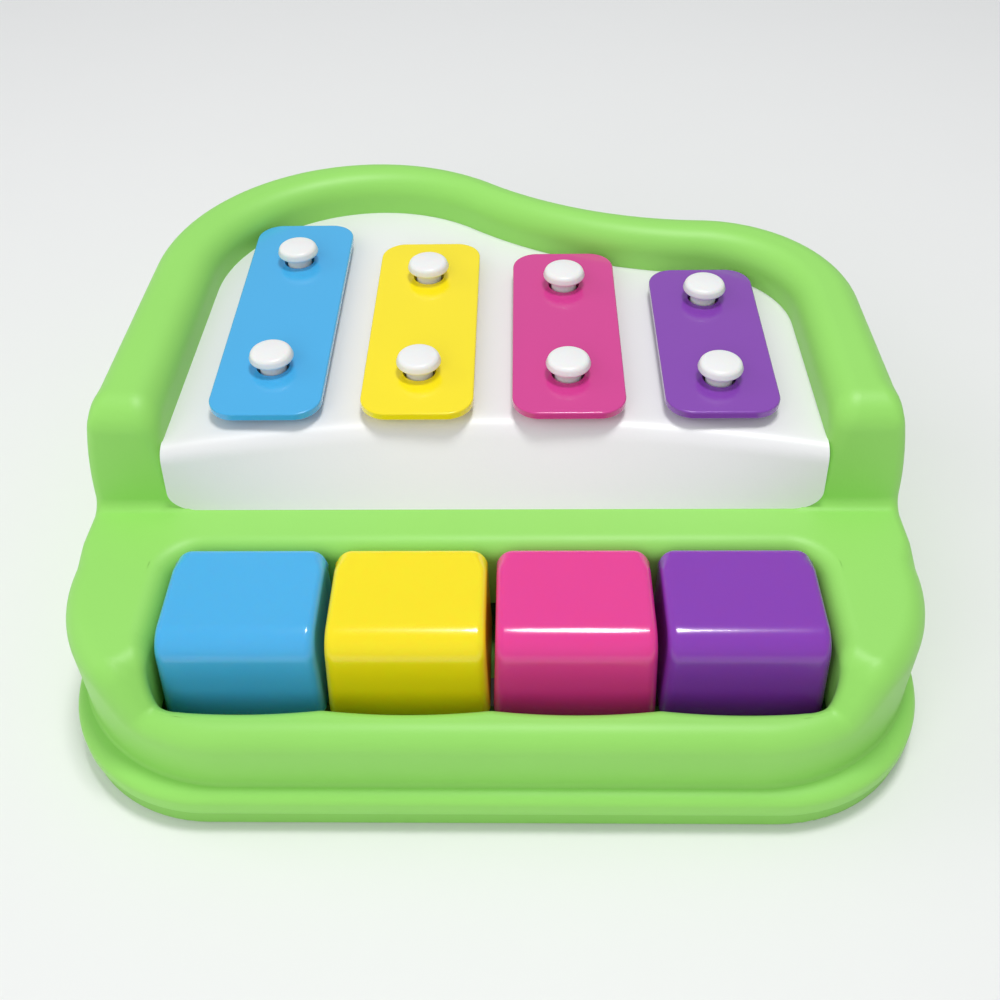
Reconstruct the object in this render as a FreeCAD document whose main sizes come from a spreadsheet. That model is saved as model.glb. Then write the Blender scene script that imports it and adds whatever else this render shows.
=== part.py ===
"""Toy piano: four keys swing on one rod and throw hammers up against four chime bars.

Millimetres, +Z up, +X to the player's right, +Y away from the player. The origin is under
the middle of the case, on the surface that the toy stands on. Plan sizes in the sheet are
measured from the middle of the front edge.
"""
import FreeCAD, Part
import math
import os
import re
import Sketcher

Vec = FreeCAD.Vector
COLOURS = ("blue", "yellow", "pink", "purple")

SIZES = {
    # plan outline of the case at its bottom flange: two corners, two lobes and a waist
    "case_half_width": 120.4,
    "front_corner_radius": 44.0,
    "big_lobe_inset": 3.2,
    "big_lobe_y": 162.5,
    "big_lobe_radius": 72.9,
    "small_lobe_inset": 2.1,
    "small_lobe_y": 142.0,
    "small_lobe_radius": 51.6,
    "waist_radius": 115.4,
    # case walls and heights
    "base_height": 6.0,
    "base_floor": 2.5,
    "base_inset": 0.8,
    "base_edge": 1.2,
    "flange_top": 12.5,
    "flange_width": 1.2,
    "flange_round": 1.0,
    "wall_lead": 3.9,
    "shell_wall": 3.0,
    "wall_draft": 1.5,
    "rim_height": 77.0,
    "rim_round": 8.0,
    "lip_height": 3.0,
    "lip_wall": 2.0,
    "seat_clearance": 0.3,
    # side profile of the case: front rail, cheeks with the ledge, step up to the rim
    "rail_height": 31.5,
    "ledge_height": 43.5,
    "slope_foot_y": 18.0,
    "slope_top_y": 25.0,
    "step_foot_y": 78.6,
    "step_top_y": 83.0,
    "valley_round": 10.0,
    "ridge_round": 8.0,
    # key well
    "cheek_width": 29.4,
    "well_front_y": 16.0,
    "well_back_y": 63.8,
    "well_corner": 8.0,
    "well_round": 2.6,
    "skirt_bottom": 20.0,
    # deck panel with its leaning fascia
    "deck_depth": 13.5,
    "deck_wall": 2.5,
    "deck_rim_width": 20.9,
    "deck_cheek_width": 25.1,
    "deck_lobe_shift": 2.6,
    "deck_seat": 5.0,
    "deck_fit": 0.25,
    "fascia_foot_y": 78.4,
    "fascia_end_y": 81.6,
    "fascia_middle_y": 94.8,
    "fascia_wall": 2.5,
    "fascia_seat": 4.0,
    "fascia_corner_share": 0.4,
    "bay_back_y": 100.0,
    # cuts between the five lengths of the rim, up each lobe as a share of its radius
    "rim_cut_share": 0.2,
    # chime bars on their pins
    "bar_side_gap": 2.0,
    "bar_gap": 11.3,
    "bar_thickness": 2.5,
    "bar_corner": 8.0,
    "bar_edge": 0.5,
    "bar_front_y": 91.6,
    "bar_rear_gap_blue": 5.456,
    "bar_rear_gap_yellow": 22.486,
    "bar_rear_gap_pink": 3.419,
    "bar_rear_gap_purple": 4.236,
    "pin_share": 0.22,
    "bar_hole_radius": 5.0,
    "pin_shank_radius": 4.0,
    "pin_head_radius": 6.7,
    "pin_head_height": 3.3,
    "pin_head_edge": 1.3,
    "pin_shank_show": 3.0,
    "pin_barb": 0.6,
    "pin_barb_height": 2.0,
    "pin_tail": 3.0,
    "pin_fit": 0.1,
    "cushion_height": 3.0,
    "cushion_radius": 7.5,
    # keys
    "key_side_gap": 0.4,
    "key_gap": 0.9,
    "key_front_y": 23.4,
    "key_back_y": 61.2,
    "key_top": 45.5,
    "key_bottom": 18.5,
    "key_side_draft": 0.9,
    "key_front_draft": 2.4,
    "key_round": 4.0,
    "key_front_round": 7.5,
    "key_wall": 2.2,
    "key_boss_radius": 3.6,
    "key_boss_front_y": 36.0,
    "key_boss_back_y": 52.0,
    # levers on the rod
    "press_angle": 7.5,
    "rod_y": 88.0,
    "rod_z": 24.0,
    "rod_radius": 2.0,
    "rod_fit": 0.06,
    "rod_overhang": 3.5,
    "hub_radius": 6.0,
    "hub_play": 0.3,
    "lever_width": 10.0,
    "lever_top": 18.0,
    "lever_bottom": 14.0,
    "lever_front_y": 30.0,
    "arm_bottom": 12.0,
    "arm_top": 19.0,
    "post_depth": 9.0,
    "post_stub_radius": 2.4,
    "post_stub_height": 4.0,
    "strike_gap": 0.4,
    "hammer_radius": 5.5,
    "hammer_dome": 8.0,
    "hammer_height": 9.0,
    "hammer_room": 1.5,
    # bearing posts, rod clips, springs and felts
    "bearing_width": 5.0,
    "bearing_depth": 14.0,
    "bearing_height": 30.0,
    "clip_radius": 4.5,
    "clip_thickness": 1.4,
    "spring_y": 69.0,
    "spring_radius": 3.6,
    "spring_wire": 0.8,
    "spring_turns": 5,
    "spigot_radius": 2.6,
    "spigot_height": 4.0,
    "stop_y": 40.0,
    "stop_depth": 10.0,
    "rest_y": 112.0,
    "rest_depth": 7.0,
    "rest_rib": 8.5,
    "felt_gap": 0.1,
    # screws
    "screw_radius": 1.5,
    "screw_fit": 0.05,
    "screw_head_radius": 3.0,
    "screw_head_height": 1.8,
    "screw_sink": 4.0,
    "boss_radius": 4.2,
    "boss_bottom": 9.0,
    "boss_inset": 13.5,
    "boss_cheek_y": 50.0,
    "boss_side_y": 124.0,
    "case_screw_grip": 10.0,
    "key_screw_grip": 8.0,
    "pillar_radius": 5.4,
    "deck_screw_radius": 1.2,
    "deck_screw_head": 2.4,
    "deck_screw_bite": 1.8,
}

# places and heights that follow from the sizes
PLACES = {
    "depth": "big_lobe_y + big_lobe_radius",
    "big_lobe_x": "big_lobe_inset + big_lobe_radius - case_half_width",
    "small_lobe_x": "case_half_width - small_lobe_inset - small_lobe_radius",
    "well_half_width": "case_half_width - cheek_width",
    "bar_pitch": "(well_half_width - bar_side_gap) / 2",
    "bar_width": "bar_pitch - bar_gap",
    "key_pitch": "(well_half_width - key_side_gap) / 2",
    "key_width": "key_pitch - key_gap",
    "felt_width": "4 * bar_pitch",
    # outline of the deck recess: two lobes and the waist between them
    "deck_half_width": "case_half_width - deck_cheek_width",
    "deck_big_x": "big_lobe_x + deck_lobe_shift",
    "deck_big_radius": "big_lobe_radius - deck_rim_width",
    "deck_small_x": "small_lobe_x - deck_lobe_shift",
    "deck_small_radius": "small_lobe_radius - deck_rim_width",
    "deck_waist_radius": "waist_radius + deck_rim_width",
    "waist_to_big": "big_lobe_radius + waist_radius",
    "waist_to_small": "small_lobe_radius + waist_radius",
    "lobe_run": "deck_small_x - deck_big_x",
    "lobe_drop": "big_lobe_y - small_lobe_y",
    "lobe_apart": "sqrt(lobe_run ^ 2 + lobe_drop ^ 2)",
    "waist_along": "(waist_to_big ^ 2 - waist_to_small ^ 2 + lobe_apart ^ 2) / (2 * lobe_apart)",
    "waist_out": "sqrt(waist_to_big ^ 2 - waist_along ^ 2)",
    "deck_waist_x": "deck_big_x + (waist_along * lobe_run + waist_out * lobe_drop) / lobe_apart",
    "deck_waist_y": "big_lobe_y + (waist_out * lobe_run - waist_along * lobe_drop) / lobe_apart",
    "deck_big_end_x": "deck_big_x + (deck_waist_x - deck_big_x) * deck_big_radius / waist_to_big",
    "deck_small_end_x": "deck_small_x + (deck_waist_x - deck_small_x) * deck_small_radius / waist_to_small",
    # heights of the deck, the bars and the works
    "deck_top": "rim_height - deck_depth",
    "deck_bottom": "deck_top - deck_wall",
    "rim_foot": "deck_bottom + deck_wall / 2",
    "rim_left_end_y": "big_lobe_y + rim_cut_share * deck_big_radius",
    "rim_right_end_y": "small_lobe_y + rim_cut_share * deck_small_radius",
    "fascia_corner": "fascia_corner_share * (deck_top - ledge_height)",
    "bar_bottom": "deck_top + cushion_height",
    "bar_top": "bar_bottom + bar_thickness",
    "strike_height": "bar_bottom - strike_gap - hammer_dome",
    "bearing_gap": "bar_pitch - bearing_width",
    "rod_half": "2 * bar_pitch + bearing_width / 2 + clip_thickness + rod_overhang",
    "stop_front_y": "stop_y - stop_depth / 2",
    "stop_reach": "(rod_y - stop_front_y) * tan(press_angle) + (rod_z - lever_bottom) / cos(press_angle)",
    "stop_height": "rod_z - stop_reach - felt_gap",
    "rest_height": "arm_bottom - felt_gap",
}

doc = FreeCAD.newDocument("toy_piano")
sheet = doc.addObject("Spreadsheet::Sheet", "sizes")
NAMES = []


def enter(name, content):
    """Write one named row of the sheet: a size, or a formula of the sizes."""
    NAMES.append(name)
    row = len(NAMES)
    sheet.set("A%d" % row, name)
    sheet.set("B%d" % row, content)
    sheet.setAlias("B%d" % row, name)


for name, number in SIZES.items():
    enter(name, str(number))
for name, formula in PLACES.items():
    enter(name, "=" + formula)
doc.recompute()


def cells(text):
    """The expression with each size and place read from the sheet."""
    return re.sub(r"[a-z_]+", lambda word: "sizes." + word[0] if word[0] in NAMES else word[0], str(text))


def value(text):
    """The number that an expression gives now."""
    result = sheet.evalExpression(cells(text))
    return float(getattr(result, "Value", result))


def bind(thing, prop, text):
    """Tie one property to an expression of the sheet's sizes."""
    thing.setExpression(prop, cells(text))


def place(thing, x="0", y="0", z="0"):
    """Put a piece at a plan place of the case and at a height."""
    bind(thing, "Placement.Base.x", x)
    bind(thing, "Placement.Base.y", "(%s) - depth / 2" % y)
    bind(thing, "Placement.Base.z", z)


def new_body(label, x="0", y="0", z="0"):
    body = doc.addObject("PartDesign::Body", label)
    body.Label = label
    place(body, x, y, z)
    return body


def sketch_on(body, role, height="0"):
    """A sketch on one of the body's own origin planes, lifted along the plane's normal."""
    sketch = body.newObject("Sketcher::SketchObject", "sketch")
    plane = next(p for p in body.Origin.OriginFeatures if p.Role == role)
    sketch.AttachmentSupport = (plane, [""])
    sketch.MapMode = "FlatFace"
    bind(sketch, "AttachmentOffset.Base.z", height)
    return sketch


def dimension(sketch, kind, where, text):
    """Add a driving dimension and tie it to an expression."""
    index = sketch.addConstraint(Sketcher.Constraint(kind, *where, value(text)))
    bind(sketch, "Constraints[%d]" % index, text)


def fix_point(sketch, geometry, end, x, y):
    """Dimension one point of the sketch from its origin."""
    dimension(sketch, "DistanceX", (-1, 1, geometry, end), x)
    dimension(sketch, "DistanceY", (-1, 1, geometry, end), y)


def circle(sketch, x, y, radius):
    centre = Vec(value(x), value(y), 0)
    index = sketch.addGeometry(Part.Circle(centre, Vec(0, 0, 1), value(radius)))
    dimension(sketch, "Radius", (index,), radius)
    fix_point(sketch, index, 3, x, y)


def arc_between(centre, radius, start, end):
    """Counter-clockwise arc from the direction of start to the direction of end."""
    first = math.atan2(start.y - centre.y, start.x - centre.x)
    last = math.atan2(end.y - centre.y, end.x - centre.x)
    return Part.ArcOfCircle(Part.Circle(centre, Vec(0, 0, 1), radius), first, last)


def loop(sketch, corners):
    """Closed outline through corners (x, y) or (x, y, radius), all given as expressions."""
    points = [Vec(value(c[0]), value(c[1]), 0) for c in corners]
    radii = [value(c[2]) if len(c) > 2 else 0.0 for c in corners]
    count = len(points)
    ends = []
    for i, point in enumerate(points):
        back = (points[i - 1] - point).normalize()
        ahead = (points[(i + 1) % count] - point).normalize()
        reach = radii[i] / math.tan(back.getAngle(ahead) / 2) if radii[i] else 0.0
        ends.append((point + back * reach, point + ahead * reach))
    lines = []
    for i in range(count):
        segment = Part.LineSegment(ends[i][1], ends[(i + 1) % count][0])
        lines.append(sketch.addGeometry(segment))
    for i, corner in enumerate(corners):
        before, after = lines[i - 1], lines[i]
        if not radii[i]:
            sketch.addConstraint(Sketcher.Constraint("Coincident", before, 2, after, 1))
            fix_point(sketch, after, 1, corner[0], corner[1])
            continue
        start, end = ends[i]
        turn = (start - points[i]).cross(end - points[i]).z
        bisector = ((start - points[i]) + (end - points[i])).normalize()
        half = (start - points[i]).getAngle(bisector)
        centre = points[i] + bisector * (radii[i] / math.sin(half))
        first, last = (start, end) if turn < 0 else (end, start)
        arc = sketch.addGeometry(arc_between(centre, radii[i], first, last))
        at_start, at_end = (1, 2) if turn < 0 else (2, 1)
        sketch.addConstraint(Sketcher.Constraint("Tangent", before, 2, arc, at_start))
        sketch.addConstraint(Sketcher.Constraint("Tangent", arc, at_end, after, 1))
        dimension(sketch, "Radius", (arc,), corner[2])
        tip = sketch.addGeometry(Part.Point(points[i]), True)
        sketch.addConstraint(Sketcher.Constraint("PointOnObject", tip, 1, before))
        sketch.addConstraint(Sketcher.Constraint("PointOnObject", tip, 1, after))
        fix_point(sketch, tip, 1, corner[0], corner[1])


def rectangle(sketch, x0, y0, x1, y1, radius=None):
    """Rectangle between two opposite corners, with round corners where a radius is given."""
    extra = () if radius is None else (radius,)
    loop(sketch, [(x0, y0) + extra, (x1, y0) + extra, (x1, y1) + extra, (x0, y1) + extra])


def lobes(shift):
    """Middles of the big lobe, the small lobe and the waist, with both lobes moved to the middle by shift."""
    big = Vec(value("big_lobe_x + " + shift), value("big_lobe_y"), 0)
    small = Vec(value("small_lobe_x - " + shift), value("small_lobe_y"), 0)
    to_big = value("waist_to_big")
    to_small = value("waist_to_small")
    apart = small - big
    along = (to_big ** 2 - to_small ** 2 + apart.Length ** 2) / (2 * apart.Length)
    unit = Vec(apart).normalize()
    waist = big + unit * along + Vec(-unit.y, unit.x, 0) * math.sqrt(to_big ** 2 - along ** 2)
    return big, small, waist


def side_normal(start, start_radius, centre, radius, hand):
    """Outward direction of the line that touches two circles on the given side."""
    run = centre - start
    lean = math.acos((start_radius - radius) / run.Length)
    angle = math.atan2(run.y, run.x) - hand * lean
    return Vec(math.cos(angle), math.sin(angle), 0)


def outline(sketch, inset, lead="0", front=None, front_half=None):
    """Plan outline of the case, moved inwards by inset, and at the front by lead as well.

    With no front given, the front is a straight edge between two round corners. With one, the
    outline is the deck's: cut off square at that place, at half the given width each side.
    """
    shift = "0" if front is None else "deck_lobe_shift"
    big, small, waist = lobes(shift)
    depth_in = value(inset)
    big_radius = value("big_lobe_radius") - depth_in
    small_radius = value("small_lobe_radius") - depth_in
    waist_radius = value("waist_radius") + depth_in
    if front is None:
        corner_radius = value("front_corner_radius") - depth_in
        corner_x = value("case_half_width - front_corner_radius")
        corner_y = value("front_corner_radius + " + lead)
    else:
        corner_radius = 0.0
        corner_x = value(front_half)
        corner_y = value(front)
    right = Vec(corner_x, corner_y, 0)
    left = Vec(-corner_x, corner_y, 0)
    right_normal = side_normal(right, corner_radius, small, small_radius, 1)
    left_normal = side_normal(left, corner_radius, big, big_radius, -1)
    front_y = corner_y - corner_radius
    right_foot = right + right_normal * corner_radius
    right_head = small + right_normal * small_radius
    left_foot = left + left_normal * corner_radius
    left_head = big + left_normal * big_radius
    small_end = small + (waist - small).normalize() * small_radius
    big_end = big + (waist - big).normalize() * big_radius

    front_line = sketch.addGeometry(
        Part.LineSegment(Vec(-corner_x, front_y, 0), Vec(corner_x, front_y, 0)))
    right_line = sketch.addGeometry(Part.LineSegment(right_foot, right_head))
    small_arc = sketch.addGeometry(arc_between(small, small_radius, right_head, small_end))
    waist_arc = sketch.addGeometry(arc_between(waist, waist_radius, big_end, small_end))
    big_arc = sketch.addGeometry(arc_between(big, big_radius, big_end, left_head))
    left_line = sketch.addGeometry(Part.LineSegment(left_head, left_foot))

    joints = [(right_line, 2, small_arc, 1), (small_arc, 2, waist_arc, 2),
              (waist_arc, 1, big_arc, 1), (big_arc, 2, left_line, 1)]
    if front is None:
        right_arc = sketch.addGeometry(
            arc_between(right, corner_radius, Vec(corner_x, front_y, 0), right_foot))
        left_arc = sketch.addGeometry(
            arc_between(left, corner_radius, left_foot, Vec(-corner_x, front_y, 0)))
        joints += [(front_line, 2, right_arc, 1), (right_arc, 2, right_line, 1),
                   (left_line, 2, left_arc, 1), (left_arc, 2, front_line, 1)]
    for joint in joints:
        sketch.addConstraint(Sketcher.Constraint("Tangent", *joint))
    sketch.addConstraint(Sketcher.Constraint("Horizontal", front_line))
    dimension(sketch, "Radius", (small_arc,), "small_lobe_radius - (%s)" % inset)
    dimension(sketch, "Radius", (waist_arc,), "waist_radius + (%s)" % inset)
    dimension(sketch, "Radius", (big_arc,), "big_lobe_radius - (%s)" % inset)
    fix_point(sketch, small_arc, 3, "small_lobe_x - " + shift, "small_lobe_y")
    fix_point(sketch, big_arc, 3, "big_lobe_x + " + shift, "big_lobe_y")
    if front is None:
        for arc, hand in ((right_arc, ""), (left_arc, "-")):
            dimension(sketch, "Radius", (arc,), "front_corner_radius - (%s)" % inset)
            dimension(sketch, "DistanceX", (-1, 1, arc, 3),
                      "%s(case_half_width - front_corner_radius)" % hand)
        dimension(sketch, "DistanceY", (-1, 1, front_line, 1), "%s + %s" % (inset, lead))
    else:
        sketch.addConstraint(Sketcher.Constraint("Coincident", front_line, 2, right_line, 1))
        sketch.addConstraint(Sketcher.Constraint("Coincident", left_line, 2, front_line, 1))
        dimension(sketch, "DistanceX", (-1, 1, front_line, 1), "-(%s)" % front_half)
        dimension(sketch, "DistanceX", (-1, 1, front_line, 2), front_half)
        dimension(sketch, "DistanceY", (-1, 1, front_line, 1), front)


def pad(body, sketch, length, symmetric=False, draft=None):
    """Raise a sketch along its normal, or to both sides of it."""
    feature = body.newObject("PartDesign::Pad", "pad")
    feature.Profile = sketch
    bind(feature, "Length", length)
    feature.SideType = "Symmetric" if symmetric else "One side"
    if draft is not None:
        bind(feature, "TaperAngle", "-(%s)" % draft)
    return feature


def pocket(body, sketch, length=None, upwards=False, symmetric=False):
    """Cut a sketch against its normal, along it, to both sides of it or right through."""
    feature = body.newObject("PartDesign::Pocket", "pocket")
    feature.Profile = sketch
    if length is None:
        feature.Type = "ThroughAll"
    else:
        bind(feature, "Length", length)
    feature.SideType = "Symmetric" if symmetric else "One side"
    feature.Reversed = upwards
    return feature


def round_edges(body, radius, chosen):
    """Fillet the edges of the body so far that the test picks out."""
    doc.recompute()
    base = body.Tip
    names = ["Edge%d" % (i + 1) for i, edge in enumerate(base.Shape.Edges) if chosen(edge, base.Shape)]
    feature = body.newObject("PartDesign::Fillet", "fillet")
    feature.Base = (base, names)
    bind(feature, "Radius", radius)
    return feature


def fold(edge, shape):
    """Angle in degrees between the two faces that meet at the middle of an edge."""
    faces = shape.ancestorsOfType(edge, Part.Face)
    if len(faces) < 2:
        return 0.0
    middle = edge.valueAt((edge.FirstParameter + edge.LastParameter) / 2)
    normals = [face.normalAt(*face.Surface.parameter(middle)) for face in faces[:2]]
    return math.degrees(normals[0].getAngle(normals[1]))


def revolve(body, sketch):
    """Turn a sketch of the XZ plane once round the body's Z axis."""
    feature = body.newObject("PartDesign::Revolution", "revolution")
    feature.Profile = sketch
    axis = next(a for a in body.Origin.OriginFeatures if a.Role == "Z_Axis")
    feature.ReferenceAxis = (axis, [""])
    feature.Angle = 360
    return feature


def boolean(kind, label, first, others):
    """Part boolean of finished objects under a name of its own."""
    result = doc.addObject(kind, label)
    result.Label = label
    if kind == "Part::MultiFuse":
        result.Shapes = [first] + others
    else:
        result.Base = first
        result.Tool = others[0]
    return result


def key_x(index):
    return "bar_pitch * %s" % (index - 1.5)


def deck_edge(x):
    """Plan Y of the deck recess's rear edge at a plan X: on the big lobe, the waist or the small lobe."""
    if value(x) < value("deck_big_end_x"):
        return "big_lobe_y + sqrt(deck_big_radius ^ 2 - (%s - deck_big_x) ^ 2)" % x
    if value(x) > value("deck_small_end_x"):
        return "small_lobe_y + sqrt(deck_small_radius ^ 2 - (%s - deck_small_x) ^ 2)" % x
    return "deck_waist_y - sqrt(deck_waist_radius ^ 2 - (%s - deck_waist_x) ^ 2)" % x


def bar_length(index):
    return "bar_length_" + COLOURS[index]


# each bar ends a gap short of the recess's rear edge, measured where its round corners begin
for index, colour in enumerate(COLOURS):
    flat = "(bar_width / 2 - bar_corner)"
    sides = [deck_edge("(%s %s %s)" % (key_x(index), hand, flat)) for hand in "-+"]
    enter(bar_length(index), "=min(%s; %s) - bar_rear_gap_%s - bar_front_y" % (*sides, colour))
doc.recompute()


def bar_middle(index):
    return "(bar_front_y + %s / 2)" % bar_length(index)


def hammer_centre(index):
    """Height of the hammer dome's centre at rest, so that a full press brings it just under the bar."""
    reach = "(%s - rod_y)" % bar_middle(index)
    return "(rod_z + (strike_height - rod_z - %s * sin(press_angle)) / cos(press_angle))" % reach


def on_circle(x, y, radius, angle):
    """Plan place at an angle round a circle."""
    return "%s + (%s) * cos(%s)" % (x, radius, angle), "%s + (%s) * sin(%s)" % (y, radius, angle)


def under_rim(lobe, angle):
    """Plan place of a case screw under the rim of one of the lobes."""
    return on_circle(lobe + "_lobe_x", lobe + "_lobe_y", lobe + "_lobe_radius - boss_inset", angle)


def in_seat(lobe, angle):
    """Plan place of a deck screw in the middle of the deck's seat on one of the lobes."""
    radius = "deck_%s_radius - deck_seat / 2" % lobe
    return on_circle("deck_%s_x" % lobe, lobe + "_lobe_y", radius, angle)


# case screws stand under the cheeks and under the hollow rim, deck screws in the deck's seat
CHEEK_X = "(case_half_width - boss_inset)"
CHEEK_SCREWS = [("-" + CHEEK_X, "boss_cheek_y"), (CHEEK_X, "boss_cheek_y")]
LEFT_X = "boss_inset - (case_half_width + big_lobe_radius - big_lobe_x) / 2"
RIGHT_X = "(case_half_width + small_lobe_radius + small_lobe_x) / 2 - boss_inset"
RIM_SCREWS = [(LEFT_X, "boss_side_y"), (RIGHT_X, "boss_side_y"),
              under_rim("big", 125), under_rim("big", 68), under_rim("small", 52)]
LEFT_SEAT_X = "(deck_seat + deck_big_x - deck_big_radius - deck_half_width) / 2"
RIGHT_SEAT_X = "(deck_half_width + deck_small_x + deck_small_radius - deck_seat) / 2"
DECK_SCREWS = [(LEFT_SEAT_X, "boss_side_y"), (RIGHT_SEAT_X, "boss_side_y"),
               in_seat("big", 140), in_seat("big", 60), in_seat("small", 40)]


def circles(sketch, places, radius):
    for x, y in places:
        circle(sketch, x, y, radius)


def case_block(label, inset, drop, foot):
    """Block with the outside form of the case, made smaller by drop: raised outline under the side profile."""
    body = new_body(label)
    if label == "shell_outer":
        sketch = sketch_on(body, "XY_Plane", "base_height")
        outline(sketch, "0")
        pad(body, sketch, "flange_top - base_height")
    sketch = sketch_on(body, "XY_Plane", foot)
    outline(sketch, inset, "wall_lead")
    pad(body, sketch, "rim_height + rim_round - (%s)" % foot, draft="wall_draft")
    sketch = sketch_on(body, "YZ_Plane")
    far = "depth + rim_round"
    near = "-rim_round"
    loop(sketch, [
        (near, "rail_height - %s" % drop),
        ("slope_foot_y + %s" % drop, "rail_height - %s" % drop, "valley_round"),
        ("slope_top_y + %s" % drop, "ledge_height - %s" % drop, "ridge_round"),
        ("step_foot_y + %s" % drop, "ledge_height - %s" % drop, "valley_round"),
        ("step_top_y + %s" % drop, "rim_height - %s" % drop, "ridge_round"),
        (far, "rim_height - %s" % drop),
        (far, "2 * rim_height"),
        (near, "2 * rim_height"),
    ])
    pocket(body, sketch, "4 * case_half_width", symmetric=True)
    return body


def cut_deck_bay(body, grow):
    """Seat for the deck panel, and the bay in front of it that the fascia stands in."""
    sketch = sketch_on(body, "XY_Plane", "deck_bottom - %s" % grow)
    outline(sketch, "deck_rim_width - %s" % grow, front="well_back_y - well_round",
            front_half="deck_half_width + %s" % grow)
    pocket(body, sketch, "rim_height", upwards=True)
    sketch = sketch_on(body, "XZ_Plane", "-(bay_back_y + %s)" % grow)
    side = "(deck_half_width + %s)" % grow
    low = "ledge_height - %s" % grow
    corner = "fascia_corner + %s" % grow
    loop(sketch, [("-" + side, low, corner), (side, low, corner),
                  (side, "2 * rim_height"), ("-" + side, "2 * rim_height")])
    pocket(body, sketch, "bay_back_y + %s - well_back_y" % grow, upwards=True)


def make_top_shell():
    """Upper case: flange, drafted walls, rolled rim round the deck, cheeks, front rail and key well."""
    outer = case_block("shell_outer", "flange_width", "0", "flange_top")
    above_flange = value("flange_top") + 1

    def on_top_boundary(edge, shape):
        return edge.BoundBox.ZMin > above_flange and fold(edge, shape) > 25

    round_edges(outer, "rim_round", on_top_boundary)

    def on_flange(edge, shape):
        box = edge.BoundBox
        if abs(box.ZMin - value("flange_top")) > 0.01 or box.ZLength > 0.01:
            return False
        faces = shape.ancestorsOfType(edge, Part.Face)
        return min(face.BoundBox.ZMin for face in faces) < value("flange_top") - 0.01

    round_edges(outer, "flange_round", on_flange)
    cut_deck_bay(outer, "0")
    sketch = sketch_on(outer, "XY_Plane", "rim_height")
    outline(sketch, "deck_rim_width + deck_seat", front="fascia_foot_y + fascia_seat",
            front_half="deck_half_width - deck_seat")
    pocket(outer, sketch)
    sketch = sketch_on(outer, "XY_Plane", "rim_height")
    rectangle(sketch, "-well_half_width", "well_front_y", "well_half_width", "well_back_y", "well_corner")
    pocket(outer, sketch)

    def on_well_mouth(edge, shape):
        box = edge.BoundBox
        inside = abs(box.Center.x) < value("well_half_width") + 0.1
        inside = inside and value("well_front_y") - 0.1 < box.YMin and box.YMax < value("well_back_y") + 0.1
        return inside and box.ZMin > value("skirt_bottom") and fold(edge, shape) > 25

    round_edges(outer, "well_round", on_well_mouth)
    sketch = sketch_on(outer, "XY_Plane", "deck_bottom")
    circles(sketch, DECK_SCREWS, "deck_screw_radius + screw_fit")
    pocket(outer, sketch, "2 * shell_wall")

    core = case_block("shell_core", "flange_width + shell_wall", "shell_wall", "base_height")
    cut_deck_bay(core, "shell_wall")
    sketch = sketch_on(core, "XY_Plane", "skirt_bottom")
    rectangle(sketch, "-(well_half_width + shell_wall)", "well_front_y - shell_wall",
              "well_half_width + shell_wall", "well_back_y + shell_wall", "well_corner + shell_wall")
    pocket(core, sketch, "rim_height", upwards=True)
    hollow = boolean("Part::Cut", "shell_hollow", outer, [core])

    bosses = new_body("shell_bosses")
    for places, ceiling in ((CHEEK_SCREWS, "ledge_height"), (RIM_SCREWS, "rim_height")):
        sketch = sketch_on(bosses, "XY_Plane", "boss_bottom")
        circles(sketch, places, "boss_radius")
        pad(bosses, sketch, "%s - shell_wall + seat_clearance - boss_bottom" % ceiling)
    sketch = sketch_on(bosses, "XY_Plane", "boss_bottom")
    circles(sketch, CHEEK_SCREWS + RIM_SCREWS, "screw_radius + screw_fit")
    pocket(bosses, sketch, "case_screw_grip + screw_radius", upwards=True)
    return divide_rim(boolean("Part::MultiFuse", "upper_case", hollow, [bosses]))


def divide_rim(whole):
    """The upper case as touching solids: the case below the rim, and the rim in five simple lengths, each
    with the screw boss that hangs from it."""
    wide = "(case_half_width + rim_round)"
    far = "depth + rim_round"
    lengths = [
        ("rim_left", ("-" + wide, "well_back_y", "-rim_round", "rim_left_end_y")),
        ("rim_right", ("rim_round", "well_back_y", wide, "rim_right_end_y")),
        ("rim_tail", ("-" + wide, "rim_left_end_y", "deck_big_x", far)),
        ("rim_back", ("deck_big_x", "rim_left_end_y", "deck_big_end_x", far)),
        ("rim_waist", ("deck_big_end_x", "rim_right_end_y", wide, far)),
    ]
    spaces, rims = [], []
    for (label, sides), boss in zip(lengths, RIM_SCREWS):
        space = new_body(label + "_space")
        sketch = sketch_on(space, "XY_Plane", "rim_foot")
        rectangle(sketch, *sides)
        pad(space, sketch, "rim_height")
        sketch = sketch_on(space, "XY_Plane", "base_height")
        circle(sketch, *boss, "boss_radius + seat_clearance")
        pad(space, sketch, "rim_foot + shell_wall - base_height")
        spaces.append(space)
        rims.append(boolean("Part::Common", label, whole, [space]))
    rim_space = boolean("Part::MultiFuse", "rim_space", spaces[0], spaces[1:])
    return [boolean("Part::Cut", "top_shell", whole, [rim_space])] + rims


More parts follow.
